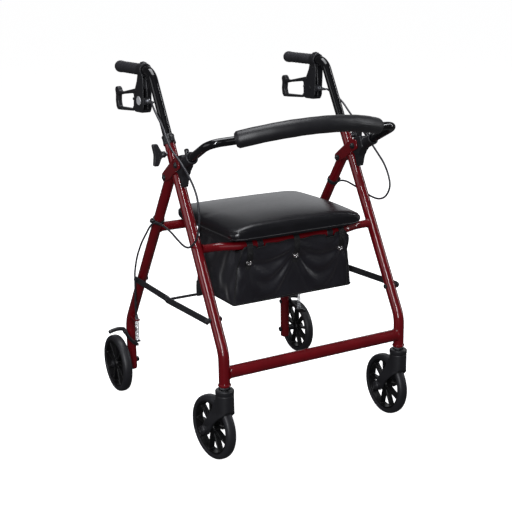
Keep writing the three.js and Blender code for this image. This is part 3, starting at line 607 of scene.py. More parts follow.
def fold_bracket(side, name):
    inner = LEG_R + 0.3
    outline = round_corners([(-119, 675), (-125, 656), (-89, 637, 24), (-70, 624, 24), (-34, 609),
                             (-25, 627), (-46, 642, 12), (-68, 657, 12), (-100, 677)], 7)
    plates = [slab(outline, side * SIDE_X + s * inner, side * SIDE_X + s * (inner + 3), bevel=1.0)
              for s in (-1, 1)]
    # A short web above the line between the two pivots joins the plates.
    way = unit(np.subtract(HOOP_PIVOT, FOLD_PIVOT))
    over = np.array((way[1], -way[0])) * 12
    low, high = (np.array(FOLD_PIVOT) + way * reach + over for reach in (8, 22))
    web = slab(link(low, high, 2.4, 2.4, 6), side * SIDE_X - inner - 2, side * SIDE_X + inner + 2, bevel=0.5)
    skin("fold_bracket", name, joined(*plates, web), "paint", "front_frame")
    outer, inward = SIDE_X + inner + 3 + 1.2, SIDE_X - inner - 3
    for label, (py, pz) in (("front", HOOP_PIVOT), ("rear", FOLD_PIVOT)):
        bolt_set(side, outer, inward, py, pz, f"bracket_bolt_{label}_{name}", 6.2, 5.6)


def height_collar(side, name):
    up = np.array((0, math.sin(FRONT_LEAN), math.cos(FRONT_LEAN)))
    at = np.array((side * SIDE_X, front_leg_y(COLLAR_Z), COLLAR_Z))
    profile = [(12.9, 0), (14.3, 0.4), (14.9, 1.4), (14.9, 5.4), (14.3, 6.4), (14.1, 17), (14.8, 18),
               (14.8, 21), (14, 22.4), (11.5, 22.8), (11.5, 5), (12.9, 5), (12.9, 0)]
    tooth = round_corners([(-24, -3), (-12, -3), (-12, 13), (-19, 13), (-22, 8), (-24, 8)], 2)
    lug = slab(tooth, -4, 4, "yz", 1.0)
    tilt = Matrix.Translation(tuple(at + up * 4)) @ Matrix.Rotation(-FRONT_LEAN, 4, "X")
    skin("height_collar", name, joined(lathe(profile, at, up), moved(lug, tilt)), "plastic", "front_frame")


def height_knob(side, name):
    y, z = front_leg_y(KNOB_Z), KNOB_Z
    outline = [(262, -6, 3), (268, -8, 6), (275.5, -25.5, 3), (288, -25.5, 3.5), (285.5, 0, 30),
               (290.5, 25.5, 3.5), (277, 25.5, 3), (268, 8, 6), (262, 6, 3)]
    loop = round_corners([(u * side, v, *r) for u, v, *r in outline], 3)
    if side < 0:
        loop = loop[::-1]
    wing = moved(slab(loop, -5, 5, "xz", 2.2), Matrix.Translation((0, y, z)))
    stem = rod((side * 252.5, y, z), (side * 264, y, z), 4.2)
    boss = lathe([(0, 0), (7, 0), (7.6, 1), (7.2, 6), (6, 9), (0, 9)], (side * 258, y, z), (side, 0, 0))
    skin("height_knob", name, moulded([wing, boss], voxel=0.9, smooth=5), "plastic", f"knob_{name}")
    piece(f"height_screw_{name}", stem, "zinc", f"knob_{name}")


def bar(name, route, radius, sides, body):
    """A painted bar of the frame that flares into its welds."""
    points, radii = dense_radii(*flared(route, radius))
    piece(f"{name}_skin", sweep(points, radii, sides), "paint", body, [name])


def crossbars():
    end = SIDE_X - 9
    y, z = FRONT_LEG["stem_y"], LOWER_BAR_Z
    bar("lower_crossbar", [(-end, y, z), (0, y, z), (end, y, z)], 14.3, 36, "front_frame")
    # The seat bar bows forward between the legs, and ends in their walls.
    y, z = front_leg_y(SEAT_BAR["z"]), SEAT_BAR["z"]
    half = [(138, SEAT_BAR["y"], z), (188, y - 3, z), (SIDE_X - LEG_R + 0.8, y, z)]
    corners = [*[(-px, py, pz) for px, py, pz in half[::-1]], *half]
    bar("seat_bar", rounded_route(corners, 70), SEAT_BAR["radius"], 32, "front_frame")
    y, z = rear_leg_y(REAR_BAR_Z), REAR_BAR_Z
    bar("rear_crossbar", [(-end, y, z), (0, y, z), (end, y, z)], 11.3, 32, "rear_frame")


# ---- rear frame ----
def rear_leg(side, name):
    x = side * SIDE_X
    top = FOLD_PIVOT_Z + 9
    route = dense(rounded_route([(x, REAR_LEG["axle_y"], REAR_LEG["foot"] + 5),
                                 (x, REAR_LEG["axle_y"], REAR_LEG["bend"]), (x, rear_leg_y(top), top)],
                                BEND_RADIUS))
    # Both ends close in a rounded cap.
    edge = 5
    turns = np.linspace(0.2, 1.5, 6)
    cap_radii = [REAR_LEG_R - edge + edge * math.cos(a) for a in turns]
    foot = [route[0] - np.array((0, 0, edge * math.sin(a))) for a in turns[::-1]]
    tip = unit(route[-1] - route[-2])
    cap = [route[-1] + tip * edge * math.sin(a) for a in turns]
    leg = sweep([*foot, *route, *cap], [*cap_radii[::-1], *[REAR_LEG_R] * len(route), *cap_radii], 36)
    tab_y = rear_leg_y(TAB_Z)
    tab_outline = round_corners([(side * 240, tab_y - 8), (side * 240, SPRING[1] - 2, 2),
                                 (side * 241.5, SPRING[1] - 9, 7), (side * 254.5, SPRING[1] - 9, 7),
                                 (side * 255, SPRING[1] + 6, 6), (side * 251, tab_y - 8)], 2)
    tab = slab(tab_outline, TAB_Z - 1.3, TAB_Z + 1.3, "xy", 0.5)
    skin("rear_leg", name, joined(leg, tab), "paint", "rear_frame")
    spacers = []
    for y, z in (brace_end("rear"), BRAKE_PIVOT):
        spacers += [x_rod(side, SIDE_X + 11, REAR_BRACE_X - 0.3, y, z, 6),
                    x_nut(side, SIDE_X - 11.8, y, z, 6.0, 3.6),
                    x_head(side, SIDE_X - 15.2, y, z, 3.0, 1.6, -1)]
    piece(f"rear_leg_bolts_{name}", joined(*spacers), "plastic", "rear_frame")


def cable_clip(side, z, name):
    """A clip round the rear leg that holds the cable on the outer side."""
    radius = REAR_LEG_R
    along = unit((0, -REAR_LEG["lean"], 1))
    at = np.array((side * SIDE_X, rear_leg_y(z), z)) - along * 5
    band = lathe([(radius + 0.1, 0), (radius + 1.8, 0.2), (radius + 2.2, 1.2), (radius + 2.2, 8.8),
                  (radius + 1.8, 9.8), (radius + 0.1, 10)], at, along)
    hook_at = at + along * 5 + np.array((side * (radius + 4.6), 0, 0))
    hook = lathe([(2.5, -4), (5.0, -4), (5.4, -3), (5.4, 3), (5.0, 4), (2.5, 4), (2.5, -4)], hook_at, along,
                 24)
    piece(f"cable_clip_{name}", joined(band, hook), "plastic", "rear_frame")


def rear_axle(side, name):
    y, z = REAR_LEG["axle_y"], WHEEL_R
    inner = SIDE_X - REAR_LEG_R
    shapes = [x_nut(side, inner - 0.5, y, z, 7.4, 5), x_rod(side, inner - 5, inner - 7, y, z, 3.4),
              x_rod(side, SIDE_X + 8, REAR_WHEEL_X - 12.4, y, z, 8.5, 1),
              x_rod(side, REAR_WHEEL_X + 12.2, REAR_WHEEL_X + 16.5, y, z, 9.0, 1.0),
              x_head(side, REAR_WHEEL_X + 16, y, z, 7.2, 3.2)]
    skin("rear_axle", name, joined(*shapes), "plastic", "rear_frame")


# ---- side braces ----
def brace_end(kind):
    """Where a brace is bolted to its leg."""
    z = BRACE[f"{kind}_z"]
    return (front_leg_y(z) if kind == "front" else rear_leg_y(z), z)


def braces(side, name):
    for kind, x, body in (("front", FRONT_BRACE_X, "front_braces"), ("rear", REAR_BRACE_X, "rear_braces")):
        flat = slab(link(brace_end(kind), BRACE["middle"], 8, 8.5, 12), side * x, side * (x + 3.2), bevel=0.9)
        skin(f"brace_{kind}", name, flat, "satin_steel", body)
    y, z = BRACE["middle"]
    middle = joined(x_head(side, FRONT_BRACE_X + 3.3, y, z, 5.6, 3.4),
                    x_rod(side, FRONT_BRACE_X + 0.5, FRONT_BRACE_X + 3.6, y, z, 4))
    piece(f"brace_bolt_middle_{name}", middle, "plastic", "front_braces")
    for kind, brace_x in (("front", FRONT_BRACE_X), ("rear", REAR_BRACE_X)):
        y, z = brace_end(kind)
        x = brace_x + 3.3
        bolt = [x_rod(side, x, x + 1, y, z, 7), x_head(side, x + 0.8, y, z, 5.6, 3.6)]
        if kind == "front":
            bolt += [x_rod(side, SIDE_X + 11, brace_x - 0.3, y, z, 6), x_nut(side, SIDE_X - 12, y, z, 6.0, 4),
                     x_head(side, SIDE_X - 15.8, y, z, 3.0, 1.6, -1)]
        piece(f"brace_bolt_{kind}_{name}", joined(*bolt), "plastic", f"{kind}_frame")


def cross_rod():
    y, z = BRACE["middle"]
    end = REAR_BRACE_X + 2.5
    shape = sweep(dense([(-end, y, z), (end, y, z)], 30), 3.3, 16)
    sleeves = [x_rod(s, SIDE_X + 12, REAR_BRACE_X - 0.4, y, z, 5.4) for s in (-1, 1)]
    piece("cross_rod_skin", joined(shape, *sleeves), "plastic", "rear_braces", ["cross_rod"],
          slot="black_steel")


# ---- wheels ----
TYRE_HALF = [(62.7, 9.6), (63.1, 11.3), (64.4, 12.0), (70.4, 12.0), (71.6, 11.4), (73.4, 10.2), (75.0, 7.8),
             (75.9, 4.2), (76.2, 0)]
TYRE = [*[(r, -w) for r, w in TYRE_HALF], *TYRE_HALF[-2::-1], (62.7, -9.6)]
SPOKES = 9


def wheel(name, prefix, body, place, turn):
    """Tyre, and a rim of one moulding: hub, tapered spokes and ring. Made about the X axis, then placed."""
    tyre = lathe(TYRE, (0, 0, 0), (1, 0, 0), 96)
    ring = lathe([(58.2, -9.5), (59, -10.2), (61.6, -10.2), (62.4, -9.4), (62.4, 9.4), (61.6, 10.2),
                  (59, 10.2), (58.2, 9.5), (59.4, 7.5), (59.4, -7.5), (58.2, -9.5)],
                 (0, 0, 0), (1, 0, 0), 96)
    hub = lathe([(5, -11.8), (10.5, -11.8), (12.6, -10.8), (13.8, -8), (13.8, 8), (12.6, 10.8), (10.5, 11.8),
                 (5, 11.8), (5, -11.8)], (0, 0, 0), (1, 0, 0), 64)
    spokes = []
    for k in range(SPOKES):
        angle = turn + 2 * math.pi * k / SPOKES
        c, s = math.cos(angle), math.sin(angle)
        near = [(11 * c - w * s, 11 * s + w * c) for w in (3.6, -3.6)]
        far = [(60 * c - w * s, 60 * s + w * c) for w in (-2.4, 2.4)]
        spokes.append(slab([*near, *far], -7.2, 7.2, "yz", 1.1))
    rim = moulded([ring, hub, *spokes], voxel=1.3, smooth=3)
    skin(f"{prefix}_tyre", name, moved(tyre, place), "tyre", body)
    # The rim's colour holds painted shade for the inside of the wheel, on top of its own black.
    skin(f"{prefix}_rim", name, moved(rim, place), "rim_plastic", body)


def rear_wheel(side, name):
    place = Matrix.Translation((side * REAR_WHEEL_X, REAR_LEG["axle_y"], WHEEL_R))
    wheel(name, "rear", f"rear_wheel_{name}", place, 0.2)


def caster(side, name):
    """Fork, axle bosses, wheel and stem. The wheel trails towards +Y of the swivel axis."""
    swivel = Matrix.Translation((side * SIDE_X, FRONT_LEG["stem_y"], 0))
    place = swivel @ Matrix.Rotation(-math.radians(CASTER_TURN[name]), 4, "Z")
    head = lathe([(0, 133), (20.4, 133), (21, 134), (21, 170), (20.2, 171.2), (0, 171.2)], (0, 0, 0),
                 (0, 0, 1), 64)
    cap = lathe([(9, 172.6), (20.6, 172.6), (21.3, 173.6), (21.3, 180.6), (19.6, 182.6), (13.5, 182.8),
                 (12.5, 180), (9, 180), (9, 172.6)], (0, 0, 0), (0, 0, 1), 64)
    core = lathe([(7, 168), (18.8, 168), (18.8, 176), (7, 176), (7, 168)], (0, 0, 0), (0, 0, 1), 48)
    ends = [(CASTER_TRAIL + 13.5 * math.cos(a), WHEEL_R + 13.5 * math.sin(a))
            for a in np.linspace(0.7, -2.5, 16)]
    outline = round_corners([(15, 158, 0), (21, 146, 8), (25, 134, 10), (36, 116, 14),
                             *[(u, v, 0) for u, v in ends], (29, 79, 10), (20, 93, 14), (5, 110, 16),
                             (-15, 127, 8), (-20.5, 136, 3), (-20.5, 156, 0)], 0)
    arms = slab(outline, -20.5, 20.5, "yz", 2.4)
    front = [(20.8 * math.cos(a), 20.8 * math.sin(a)) for a in np.linspace(math.pi, 2 * math.pi, 40)]
    plan = slab([*front, (20.8, 80), (-20.8, 80)], 40, 172, "xy", 0.4)
    room = lathe([(0, -13.6), (80, -13.6), (80, 13.6), (0, 13.6)], (0, CASTER_TRAIL, WHEEL_R), (1, 0, 0), 96)
    fork = moulded([arms, head], [room], voxel=1.1, smooth=4, keep=[plan])
    # The arms splay a little below the head.
    verts = fork[0]
    verts[:, 0] += np.sign(verts[:, 0]) * 5 * smooth_step((132 - verts[:, 2]) / 34)
    skin("caster_fork", name, moved(joined(fork, cap, core), place), "plastic", f"caster_{name}")
    bosses = []
    for s in (-1, 1):
        bosses.append(lathe([(0, 0), (10.4, 0), (10.4, 6.4), (10, 8), (8.8, 9), (6.4, 9.4), (6.0, 8.6),
                             (3.4, 8.6), (3, 9.3), (0, 9.5)],
                            (s * 25.7, CASTER_TRAIL, WHEEL_R), (s, 0, 0), 48))
        bosses.append(x_rod(s, 12.1, 18.6, CASTER_TRAIL, WHEEL_R, 7))
    bosses.append(x_rod(1, -20, 20, CASTER_TRAIL, WHEEL_R, 3.8))
    skin("caster_axle", name, moved(joined(*bosses), place), "plastic", f"caster_{name}")
    wheel(name, "caster", f"caster_wheel_{name}", place @ Matrix.Translation((0, CASTER_TRAIL, WHEEL_R)),
          0.05)
    at = (side * SIDE_X, FRONT_LEG["stem_y"], 183.2)
    stem = joined(nut(at, (0, 0, 1), 10.6, 6.2), rod((at[0], at[1], 160), (at[0], at[1], 195), 5.2),
                  lathe([(5, 0), (9.4, 0), (9.4, 0.9), (5, 0.9), (5, 0)], (at[0], at[1], 189.4), (0, 0, 1)))
    skin("caster_stem", name, stem, "zinc", "front_frame")


# ---- rear brake ----
def rear_brake(side, name):
    py, pz = BRAKE_PIVOT
    x = REAR_BRACE_X
    route = spline([(0, 164, 150.5), (0, 178, 148), (0, 196, 146.5), (0, 222, 150), (0, 241, 156),
                    (0, py, pz), (0, 259, 162), (0, 267, 161)], 40)
    half = np.interp(np.linspace(0, 1, 40), [0, 0.1, 0.5, 0.82, 0.92, 1], [3.8, 4.6, 5.2, 7.6, 8.0, 5.2])
    tangents = np.gradient(route, axis=0)
    normals = np.stack([-tangents[:, 2], tangents[:, 1]], axis=1)
    normals /= np.linalg.norm(normals, axis=1)[:, None]
    upper = route[:, 1:] + normals * half[:, None]
    lower = route[:, 1:] - normals * half[:, None]
    arm = slab([*upper, *lower[::-1]], side * x, side * (x + 4), bevel=0.9)
    shelf = round_corners([(side * 241, 179.5), (side * (x + 1), 179.5), (side * (x + 1), 192.5),
                           (side * 241, 192.5)], 3)
    rest = slab(shelf, 150.6, 152.8, "xy", 0.5)
    line = spline([(side * (x - 0.5), 267, 161), (side * (x + 6), 268, 163), (side * 272, 268, 164),
                   (side * 286, 268, 162), (side * 296, 268, 158.6)], 26)
    shoe = sweep(line, [3.6, 4.9, *[5.4] * 22, 4.7, 3.2], 24)
    skin("brake_arm", name, joined(arm, rest, shoe), "plastic", f"brake_{name}", slot="black_steel")
    bolt = joined(x_rod(side, x + 4.3, x + 5.3, py, pz, 6.8), x_head(side, x + 5, py, pz, 5.4, 2.6))
    piece(f"brake_bolt_{name}", bolt, "plastic", "rear_frame")
    sx, sy = SPRING
    spring = helix((side * sx, sy, 153.4), (0, 0, 1), 4.2, 1.0, 14, 54.0)
    obj = skin("brake_spring", name, spring, "zinc", "rear_frame")
    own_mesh(obj)
    low, mid, shoulder, top, under = ((side * sx, sy, TAB_Z + h) for h in (1.3, 4.2, 7.5, 15, -4.6))
    barrel = joined(rod(low, mid, 4.4), nut(mid, (0, 0, 1), 5.2, 3.4), rod(shoulder, top, 3.6, 1.2),
                    nut(under, (0, 0, 1), 4.8, 3.2))
    piece(f"brake_adjuster_{name}", barrel, "zinc", "rear_frame")


# ---- handles ----
def top_place(side):
    """The top of the handle is made along +Y at X 0 and turned out by the flare about the tube's bend."""
    y = front_leg_y(GRIP_Z)
    centre = Matrix.Translation((side * SIDE_X, y, 0))
    return centre @ Matrix.Rotation(-side * math.radians(FLARE), 4, "Z") @ Matrix.Translation((0, -y, 0))


def handle(side, name):
    body = f"handle_{name}"
    x = side * SIDE_X
    bend_y = front_leg_y(GRIP_Z)
    drift = math.tan(math.radians(FLARE)) * (228.5 - bend_y)
    route = rounded_route([(x, front_leg_y(540), 540), (x, bend_y, GRIP_Z),
                           (x + side * drift, 228.5, GRIP_Z)], 42, 16)
    skin("handle_tube", name, tube_shell(dense(route, 20), 11.1, 9.7), "gloss_black", body)
    place = top_place(side)
    profile = [(11.5, 99), (13.8, 99), (14.4, 99.8), (14.4, 103.4), (13.8, 104.4), (12.8, 105.4)]
    for k in range(6):
        y = 108 + k * 16.6
        profile += [(12.7, y), (13.4, y + 3), (13.8, y + 7.6), (13.4, y + 12.2), (12.7, y + 14.6)]
    profile += [(13.2, 207), (13.8, 210), (14.4, 215), (14.6, 221.5), (14.3, 226), (13.2, 229.4),
                (10, 231.2), (5, 232), (0, 232.2)]
    profile += [(0, 229.2), (11.5, 229.2), (11.5, 99)]
    skin("grip", name, moved(lathe(profile, (0, 0, GRIP_Z), (0, 1, 0), 56), place), "grip", body)


def brake_housing(side, name):
    """The moulding that clamps to the tube, with its rivets, pivot disc and cable adjuster."""
    body, place = f"handle_{name}", top_place(side)
    outline = round_corners([(75, 850, 2), (69, 838, 8), (70, 815, 20), (72, 790, 20), (73, 768, 8),
                             (80, 757, 7), (120, 756, 6), (130, 762, 5), (128.5, 775, 8), (126.5, 789, 6),
                             (117, 812, 12), (104, 832, 14), (98, 850, 2)], 0)
    shell = slab(outline, -12, 12, "yz", 2.2)
    ring = lathe([(9, 74), (15.4, 74), (16.2, 75), (16.2, 97), (15.4, 98), (9, 98)], (0, 0, GRIP_Z),
                 (0, 1, 0), 56)
    clamp = slab(round_corners([(-6, GRIP_Z + 13), (6, GRIP_Z + 13), (5, GRIP_Z + 18.5),
                                (-5, GRIP_Z + 18.5)], 2), -95, -78, "xz", 1.2)
    room = slab([(84, 802), (84, 770), (92, 752), (120, 738), (160, 738), (160, 812), (116, 832), (98, 824)],
                -6.6, 6.6, "yz", 0.3)
    recess = round_corners([(40, 843), (40, 763), (88, 763), (88, 800), (92, 826), (92, 843)], 4)
    pocket = slab(recess, -8.8, 8.8, "yz", 0.3)
    bore = lathe([(0, 50), (11.5, 50), (11.5, 120), (0, 120)], (0, 0, GRIP_Z), (0, 1, 0), 48)
    housing = moulded([shell, ring, clamp], [room, pocket, bore], voxel=0.95, smooth=4)
    rivets = [(112, 808, 3.6), (125, 787, 3.6), (126.5, 766, 3.2), (82, 838, 3.0)]
    trim = [x_rod(s, 11.4, 13.2, y, z, r, 0.8) for y, z, r in rivets for s in (-1, 1)]
    trim += [x_rod(-side, 11.4, 13.4, 98, 785, 6.2, 1.0), dome((0, 86.5, GRIP_Z + 18), (0, 0, 1), 3.6, 1.8),
             x_rod(1, -11, 11, 98, 786, 2.8),
             slab([(74, 777), (78, 777), (78, 793), (74, 793)], -8.9, 8.9, "yz", 0.4)]
    skin("brake_housing", name, moved(joined(housing, *trim), place), "plastic", body)
    disc = lathe([(0, 0), (10.6, 0), (10.8, 0.5), (10.4, 1.3), (9.4, 1.5), (9.0, 1.1), (0, 1.2)],
                 (side * 11.9, 95, 785), (side, 0, 0), 56)
    piece(f"housing_disc_{name}", moved(disc, place), "disc_face", body)
    barrel = joined(rod((0, 78, 785), (0, 70, 785), 4.8, 0.8), nut((0, 70, 785), (0, -1, 0), 6.2, 4.6),
                    rod((0, 65.6, 785), (0, 58, 785), 4.4, 1.0),
                    lathe([(0, 0), (4.2, 0.5), (4.2, 5), (3.2, 8), (2.9, 16), (2.6, 18), (0, 18)],
                          (0, 58, 785), (0, -1, 0), 28))
    piece(f"lever_adjuster_{name}", moved(barrel, place), "zinc", body)


def brake_lever(side, name):
    """A loop lever whose inner edge has finger scallops."""
    scallops = [(148 + 64 * t, 797.6 - 7.4 * t + 1.7 * abs(math.sin(4 * math.pi * t)), 0)
                for t in (k / 24 for k in range(25))]
    outline = round_corners([(90, 790, 4), (98, 797, 6), (116, 803, 10), (129, 811, 5), (157, 806, 30),
                             (214, 796, 30), (229, 797, 10), (233, 804, 4), (240, 807.5, 5), (249, 806, 5),
                             (253.4, 799, 4), (250, 788, 12), (252.6, 772, 14), (250, 757, 7),
                             (243, 749.5, 7), (216, 750.8, 30), (148, 755.3, 20), (130, 758.5, 14),
                             (112, 767, 14), (98, 776, 8), (90, 782, 4)], 0)
    hole = round_corners([*scallops, (235, 786.5, 4), (237, 772, 8), (233, 758, 5), (150, 761, 5),
                          (139, 766, 4), (139, 797, 4)], 0)
    lever = slab(outline, -6, 6, "yz", 2.2, [hole])
    skin("brake_lever", name, moved(lever, top_place(side)), "plastic", f"lever_{name}")


# ---- backrest ----
RISE = math.radians(HOOP["slope"])
PAD_HALF = 185


def on_hoop(x, reach, height=0.0):
    """A point of the hoop's plane: out from the pivot line along the slope, and up from the plane."""
    up = height - HOOP["drop"]
    return np.array((x, HOOP_PIVOT[0] - reach * math.cos(RISE) + up * math.sin(RISE),
                     HOOP_PIVOT[1] + reach * math.sin(RISE) + up * math.cos(RISE)))


def bow_reach(x):
    return HOOP["depth"] - HOOP["radius"] + math.sqrt(HOOP["radius"] ** 2 - x**2)


def backrest():
    bow = [on_hoop(x, bow_reach(x)) for x in np.linspace(-PAD_HALF, PAD_HALF, 40)]
    half = HOOP["half"]
    ends = []
    for side, tip in ((-1, bow[0]), (1, bow[-1])):
        corners = [on_hoop(side * half, 36), on_hoop(side * (half + 2), 158), tip]
        ends.append(rounded_route(corners, 32, 10)[:-1])
    route = [*dense(ends[0]), *bow, *dense(ends[1])[::-1]]
    piece("backrest_tube_skin", sweep(route, 9.5, 36), "gloss_black", "backrest", ["backrest_tube"])
    count = 90
    xs = np.linspace(-PAD_HALF, PAD_HALF, count)
    points = [on_hoop(x, bow_reach(x)) for x in xs]
    edge = np.minimum(xs + PAD_HALF, PAD_HALF - xs)
    radii = 19 - 4.5 * np.exp(-edge / 1.6) + 0.25 * np.sin(xs * 0.11) * np.sin(xs * 0.043 + 1)
    tips = [points[0] - unit(points[1] - points[0]) * 0.6, points[-1] + unit(points[-1] - points[-2]) * 0.6]
    route = [tips[0], *points, tips[1]]
    radii = [11.0, *radii, 11.0]
    pad = piece("backrest_pad_skin", sweep(route, radii, 48), "foam", "backrest", ["backrest_pad"])


def backrest_socket(side, name):
    half = LEG_R - 0.4
    outline = round_corners([(-105, 640, 4), (-93, 645, 4), (-89, 656, 6), (-92, 671, 6), (-104, 680, 6),
                             (-130, 687, 4), (-141, 660, 5), (-129, 648, 8), (-122.5, 636, 6),
                             (-120.5, 611, 3), (-111, 609.5, 3), (-108.5, 628, 6)], 0)
    lug = slab(outline, side * SIDE_X - half, side * SIDE_X + half, "yz", 2.0)
    x = side * HOOP["half"]
    along = on_hoop(x, 80) - on_hoop(x, 20)
    barrel = lathe([(0, 0), (12.6, 0), (13.8, 1.4), (13.8, 34), (14.6, 35.4), (14.6, 41), (13.8, 42.4),
                    (0, 42.4)], on_hoop(x, 21.6), along, 48)
    bore = rod(on_hoop(x, 33), on_hoop(x, 95), 9.9)
    pin_hole = x_rod(side, SIDE_X - 20, SIDE_X + 20, *HOOP_PIVOT, 4.6)
    button_hole = rod(on_hoop(x, 44, 6), on_hoop(x, 44, 40), 6.0)
    sx = side * SIDE_X
    taper = slab([(sx - 20, 720), (sx - 20, 655), (sx - 11, 640), (sx - 6.5, 606), (sx + 6.5, 606),
                  (sx + 11, 640), (sx + 24, 655), (sx + 24, 720)], -60, 260, "xz", 0.5)
    shell = moulded([lug, barrel], [bore, pin_hole, button_hole], voxel=1.0, smooth=4, keep=[taper])
    skin("backrest_socket", name, shell, "plastic", "backrest")
    axis = on_hoop(x, 44, 20) - on_hoop(x, 44, 10)
    press = lathe([(0, 0), (5.4, 0), (5.4, 10), (5.0, 12.4), (3.6, 13.4), (0, 13.7)], on_hoop(x, 44, 13.4),
                  axis, 32)
    skin("backrest_button", name, press, "gloss_black", f"button_{name}", slot="moulded_plastic")


# ---- seat ----
SEAT = {"half": 180, "front": -226, "rear": 80, "low": 495, "top": 531, "corner": 28}
HINGE_X = 95


def seat_outline(inset, corner, steps=10):
    x, y0, y1 = SEAT["half"] - inset, SEAT["front"] + inset, SEAT["rear"] - inset
    return round_corners([(x, y0), (x, y1), (-x, y1), (-x, y0)], corner, steps)


def inflated(shape, voxel, cap, pressure):
    """Padded fabric: remeshed, blown up by cloth simulation, and held within cap mm of where it was."""
    obj = temp((shape[0] * MM, shape[1]), "cushion")
    remesh = obj.modifiers.new("remesh", "REMESH")
    remesh.mode, remesh.voxel_size = "VOXEL", voxel * MM
    verts, faces = mesh_arrays(obj)
    discard(obj)
    obj = temp((verts, faces), "cushion")
    cloth = obj.modifiers.new("cloth", "CLOTH")
    settings = cloth.settings
    settings.use_pressure, settings.uniform_pressure_force = True, pressure
    settings.effector_weights.gravity = 0
    settings.quality = 5
    settings.tension_stiffness = settings.compression_stiffness = 15
    settings.bending_stiffness = 0.6
    cloth.point_cache.frame_start, cloth.point_cache.frame_end = 1, 20
    for number in range(1, 21):
        bpy.context.scene.frame_set(number)
    moved_to, _ = mesh_arrays(obj)
    shift = moved_to - verts
    length = np.linalg.norm(shift, axis=1)[:, None]
    verts = verts + shift * np.minimum(1, cap * MM / np.maximum(length, 1e-9))
    discard(obj)
    bpy.context.scene.frame_set(1)
    return verts / MM, faces


def seat():
    board = slab(seat_outline(8, 20), SEAT["low"], SEAT["low"] + 8, "xy", 1.0)
    piece("seat_board_skin", board, "plastic", "seat", ["seat_board"])
    block = slab(seat_outline(1, 25), SEAT["low"] + 1, SEAT["top"] - 5, "xy", 9)
    verts, faces = inflated(block, 5, 1.6, 3)
    x, y, z = verts.T
    centre_y, half_y = (SEAT["front"] + SEAT["rear"]) / 2, (SEAT["rear"] - SEAT["front"]) / 2
    across, along = np.abs(x) / SEAT["half"], (y - centre_y) / half_y
    # The stuffing is highest at the middle and falls away to the front corners.
    crown = 11.5 * clamp(1 - across**2.4) * clamp(1 - np.abs(along) ** 2.6)
    front_fall = 9 * clamp((across - 0.55) / 0.45) ** 1.8 * clamp((-along - 0.1) / 0.9) ** 1.2
    side_fall = 5 * clamp((across - 0.7) / 0.3) ** 2
    z = z + (crown - (front_fall + side_fall)) * clamp((z - 505) / 18)
    # The underside is flat, with room for the board; the cover hangs lower along the front edge.
    inside = (np.abs(x) < SEAT["half"] - 7.6) & (y > SEAT["front"] + 7.6) & (y < SEAT["rear"] - 7.6)
    z = np.where(inside & (z < 504), 503.6, np.maximum(z, SEAT["low"] + 0.4))
    lip = clamp((-196 - y) / 14) * clamp((514 - z) / 14) * (y < -210)
    z = z - lip * (9.0 - 6.5 * across**4)
    # Gathers in the side band at the corners, and slack ripples along the band.
    corner = clamp((across - 0.78) / 0.22) * clamp((np.abs(along) - 0.78) / 0.22)
    band = clamp((z - 496) / 10) * clamp((524 - z) / 8)
    turn = np.arctan2(np.abs(y - centre_y) - half_y + 24, np.abs(x) - SEAT["half"] + 24)
    ripple = band * (1.5 * corner * np.sin(turn * 16)
                     + 0.5 * np.sin(x * 0.09 + 1.3 * np.sin(y * 0.05)) * np.sin(z * 0.22))
    out = np.stack([np.where(across > 0.93, np.sign(x), 0),
                    np.where(np.abs(along) > 0.93, np.sign(along), 0)])
    out = out / np.maximum(np.linalg.norm(out, axis=0), 1)
    x, y = x + ripple * out[0], y + ripple * out[1]
    obj = temp((np.stack([x, y, z], axis=1), faces))
    divide = obj.modifiers.new("divide", "SUBSURF")
    divide.levels = 1
    cover = mesh_arrays(obj)
    discard(obj)
    pad = piece("seat_pad_skin", cover, "vinyl", "seat", ["seat_pad"], sharp=0)
    # A raised seam above the side band and the stitched hem below it, laid on the cover's own surface.
    tree = BVHTree.FromPolygons([Vector(v) for v in cover[0]], cover[1])
    for label, height, bow, radius, material in (("seat_seam", 515.5, 2.5, 1.0, "vinyl"),
                                                 ("seat_hem", 500.5, -6.0, 0.7, "stitch")):
        loop = []
        for px, py in seat_outline(0, SEAT["corner"], 16):
            front = max(0.0, min(1.0, (-190 - py) / 25))
            level = height + bow * front * (1 - (px / SEAT["half"]) ** 2)
            centre = Vector((max(-120.0, min(120.0, px)), max(-160.0, min(24.0, py)), level))
            outward_way = Vector((px, py, level)) - centre
            hit, _, _, _ = tree.ray_cast(centre + outward_way * 2.5, -outward_way.normalized())
            if hit:
                loop.append(tuple(hit))
        loop = dense([*loop, loop[0]], 8)
        piece(label, sweep(loop, radius, 8, False), material, "seat")


def seat_hinge(side, name):
    x = side * HINGE_X
    y, z, r = SEAT_BAR["y"], SEAT_BAR["z"], SEAT_BAR["radius"]
    profile = [(r + 0.4, -7.5), (11.4, -7.5), (12, -6.8)]
    for k in range(3):
        o = -5.6 + k * 4.4
        profile += [(12, o), (11.2, o + 0.6), (11.2, o + 1.5), (12, o + 2.1)]
    profile += [(12, 6.8), (11.4, 7.5), (r + 0.4, 7.5), (r + 0.4, -7.5)]
    ring = lathe(profile, (x, y, z), (1, 0, 0), 48)
    foot = slab(round_corners([(y - 6, z + 10.5), (y + 30, z + 12.5), (y + 30, 494.7), (y - 6, 494.7)], 3),
                x - 11, x + 11, "yz", 1.0)
    skin("seat_hinge", name, joined(ring, foot), "plastic", "seat")


# ---- bag: an open-topped shell of thin cloth that sags between its three straps ----
BAG = {"top_half": 148, "bottom_half": 164, "front": -192, "rear": 2, "low": 334, "top": 470, "corner": 7}
STRAPS = (-125, 0, 125)
SNAP_Z = 436
# Each swag of the front: where it starts and how far it sags, as shares of the depth; its height; its width.
SWAGS = ((0.06, 0.16, 4.2, 0.06), (0.12, 0.38, 5.6, 0.085), (0.2, 0.62, 4.4, 0.12))
AROUND, DOWN = 300, 56


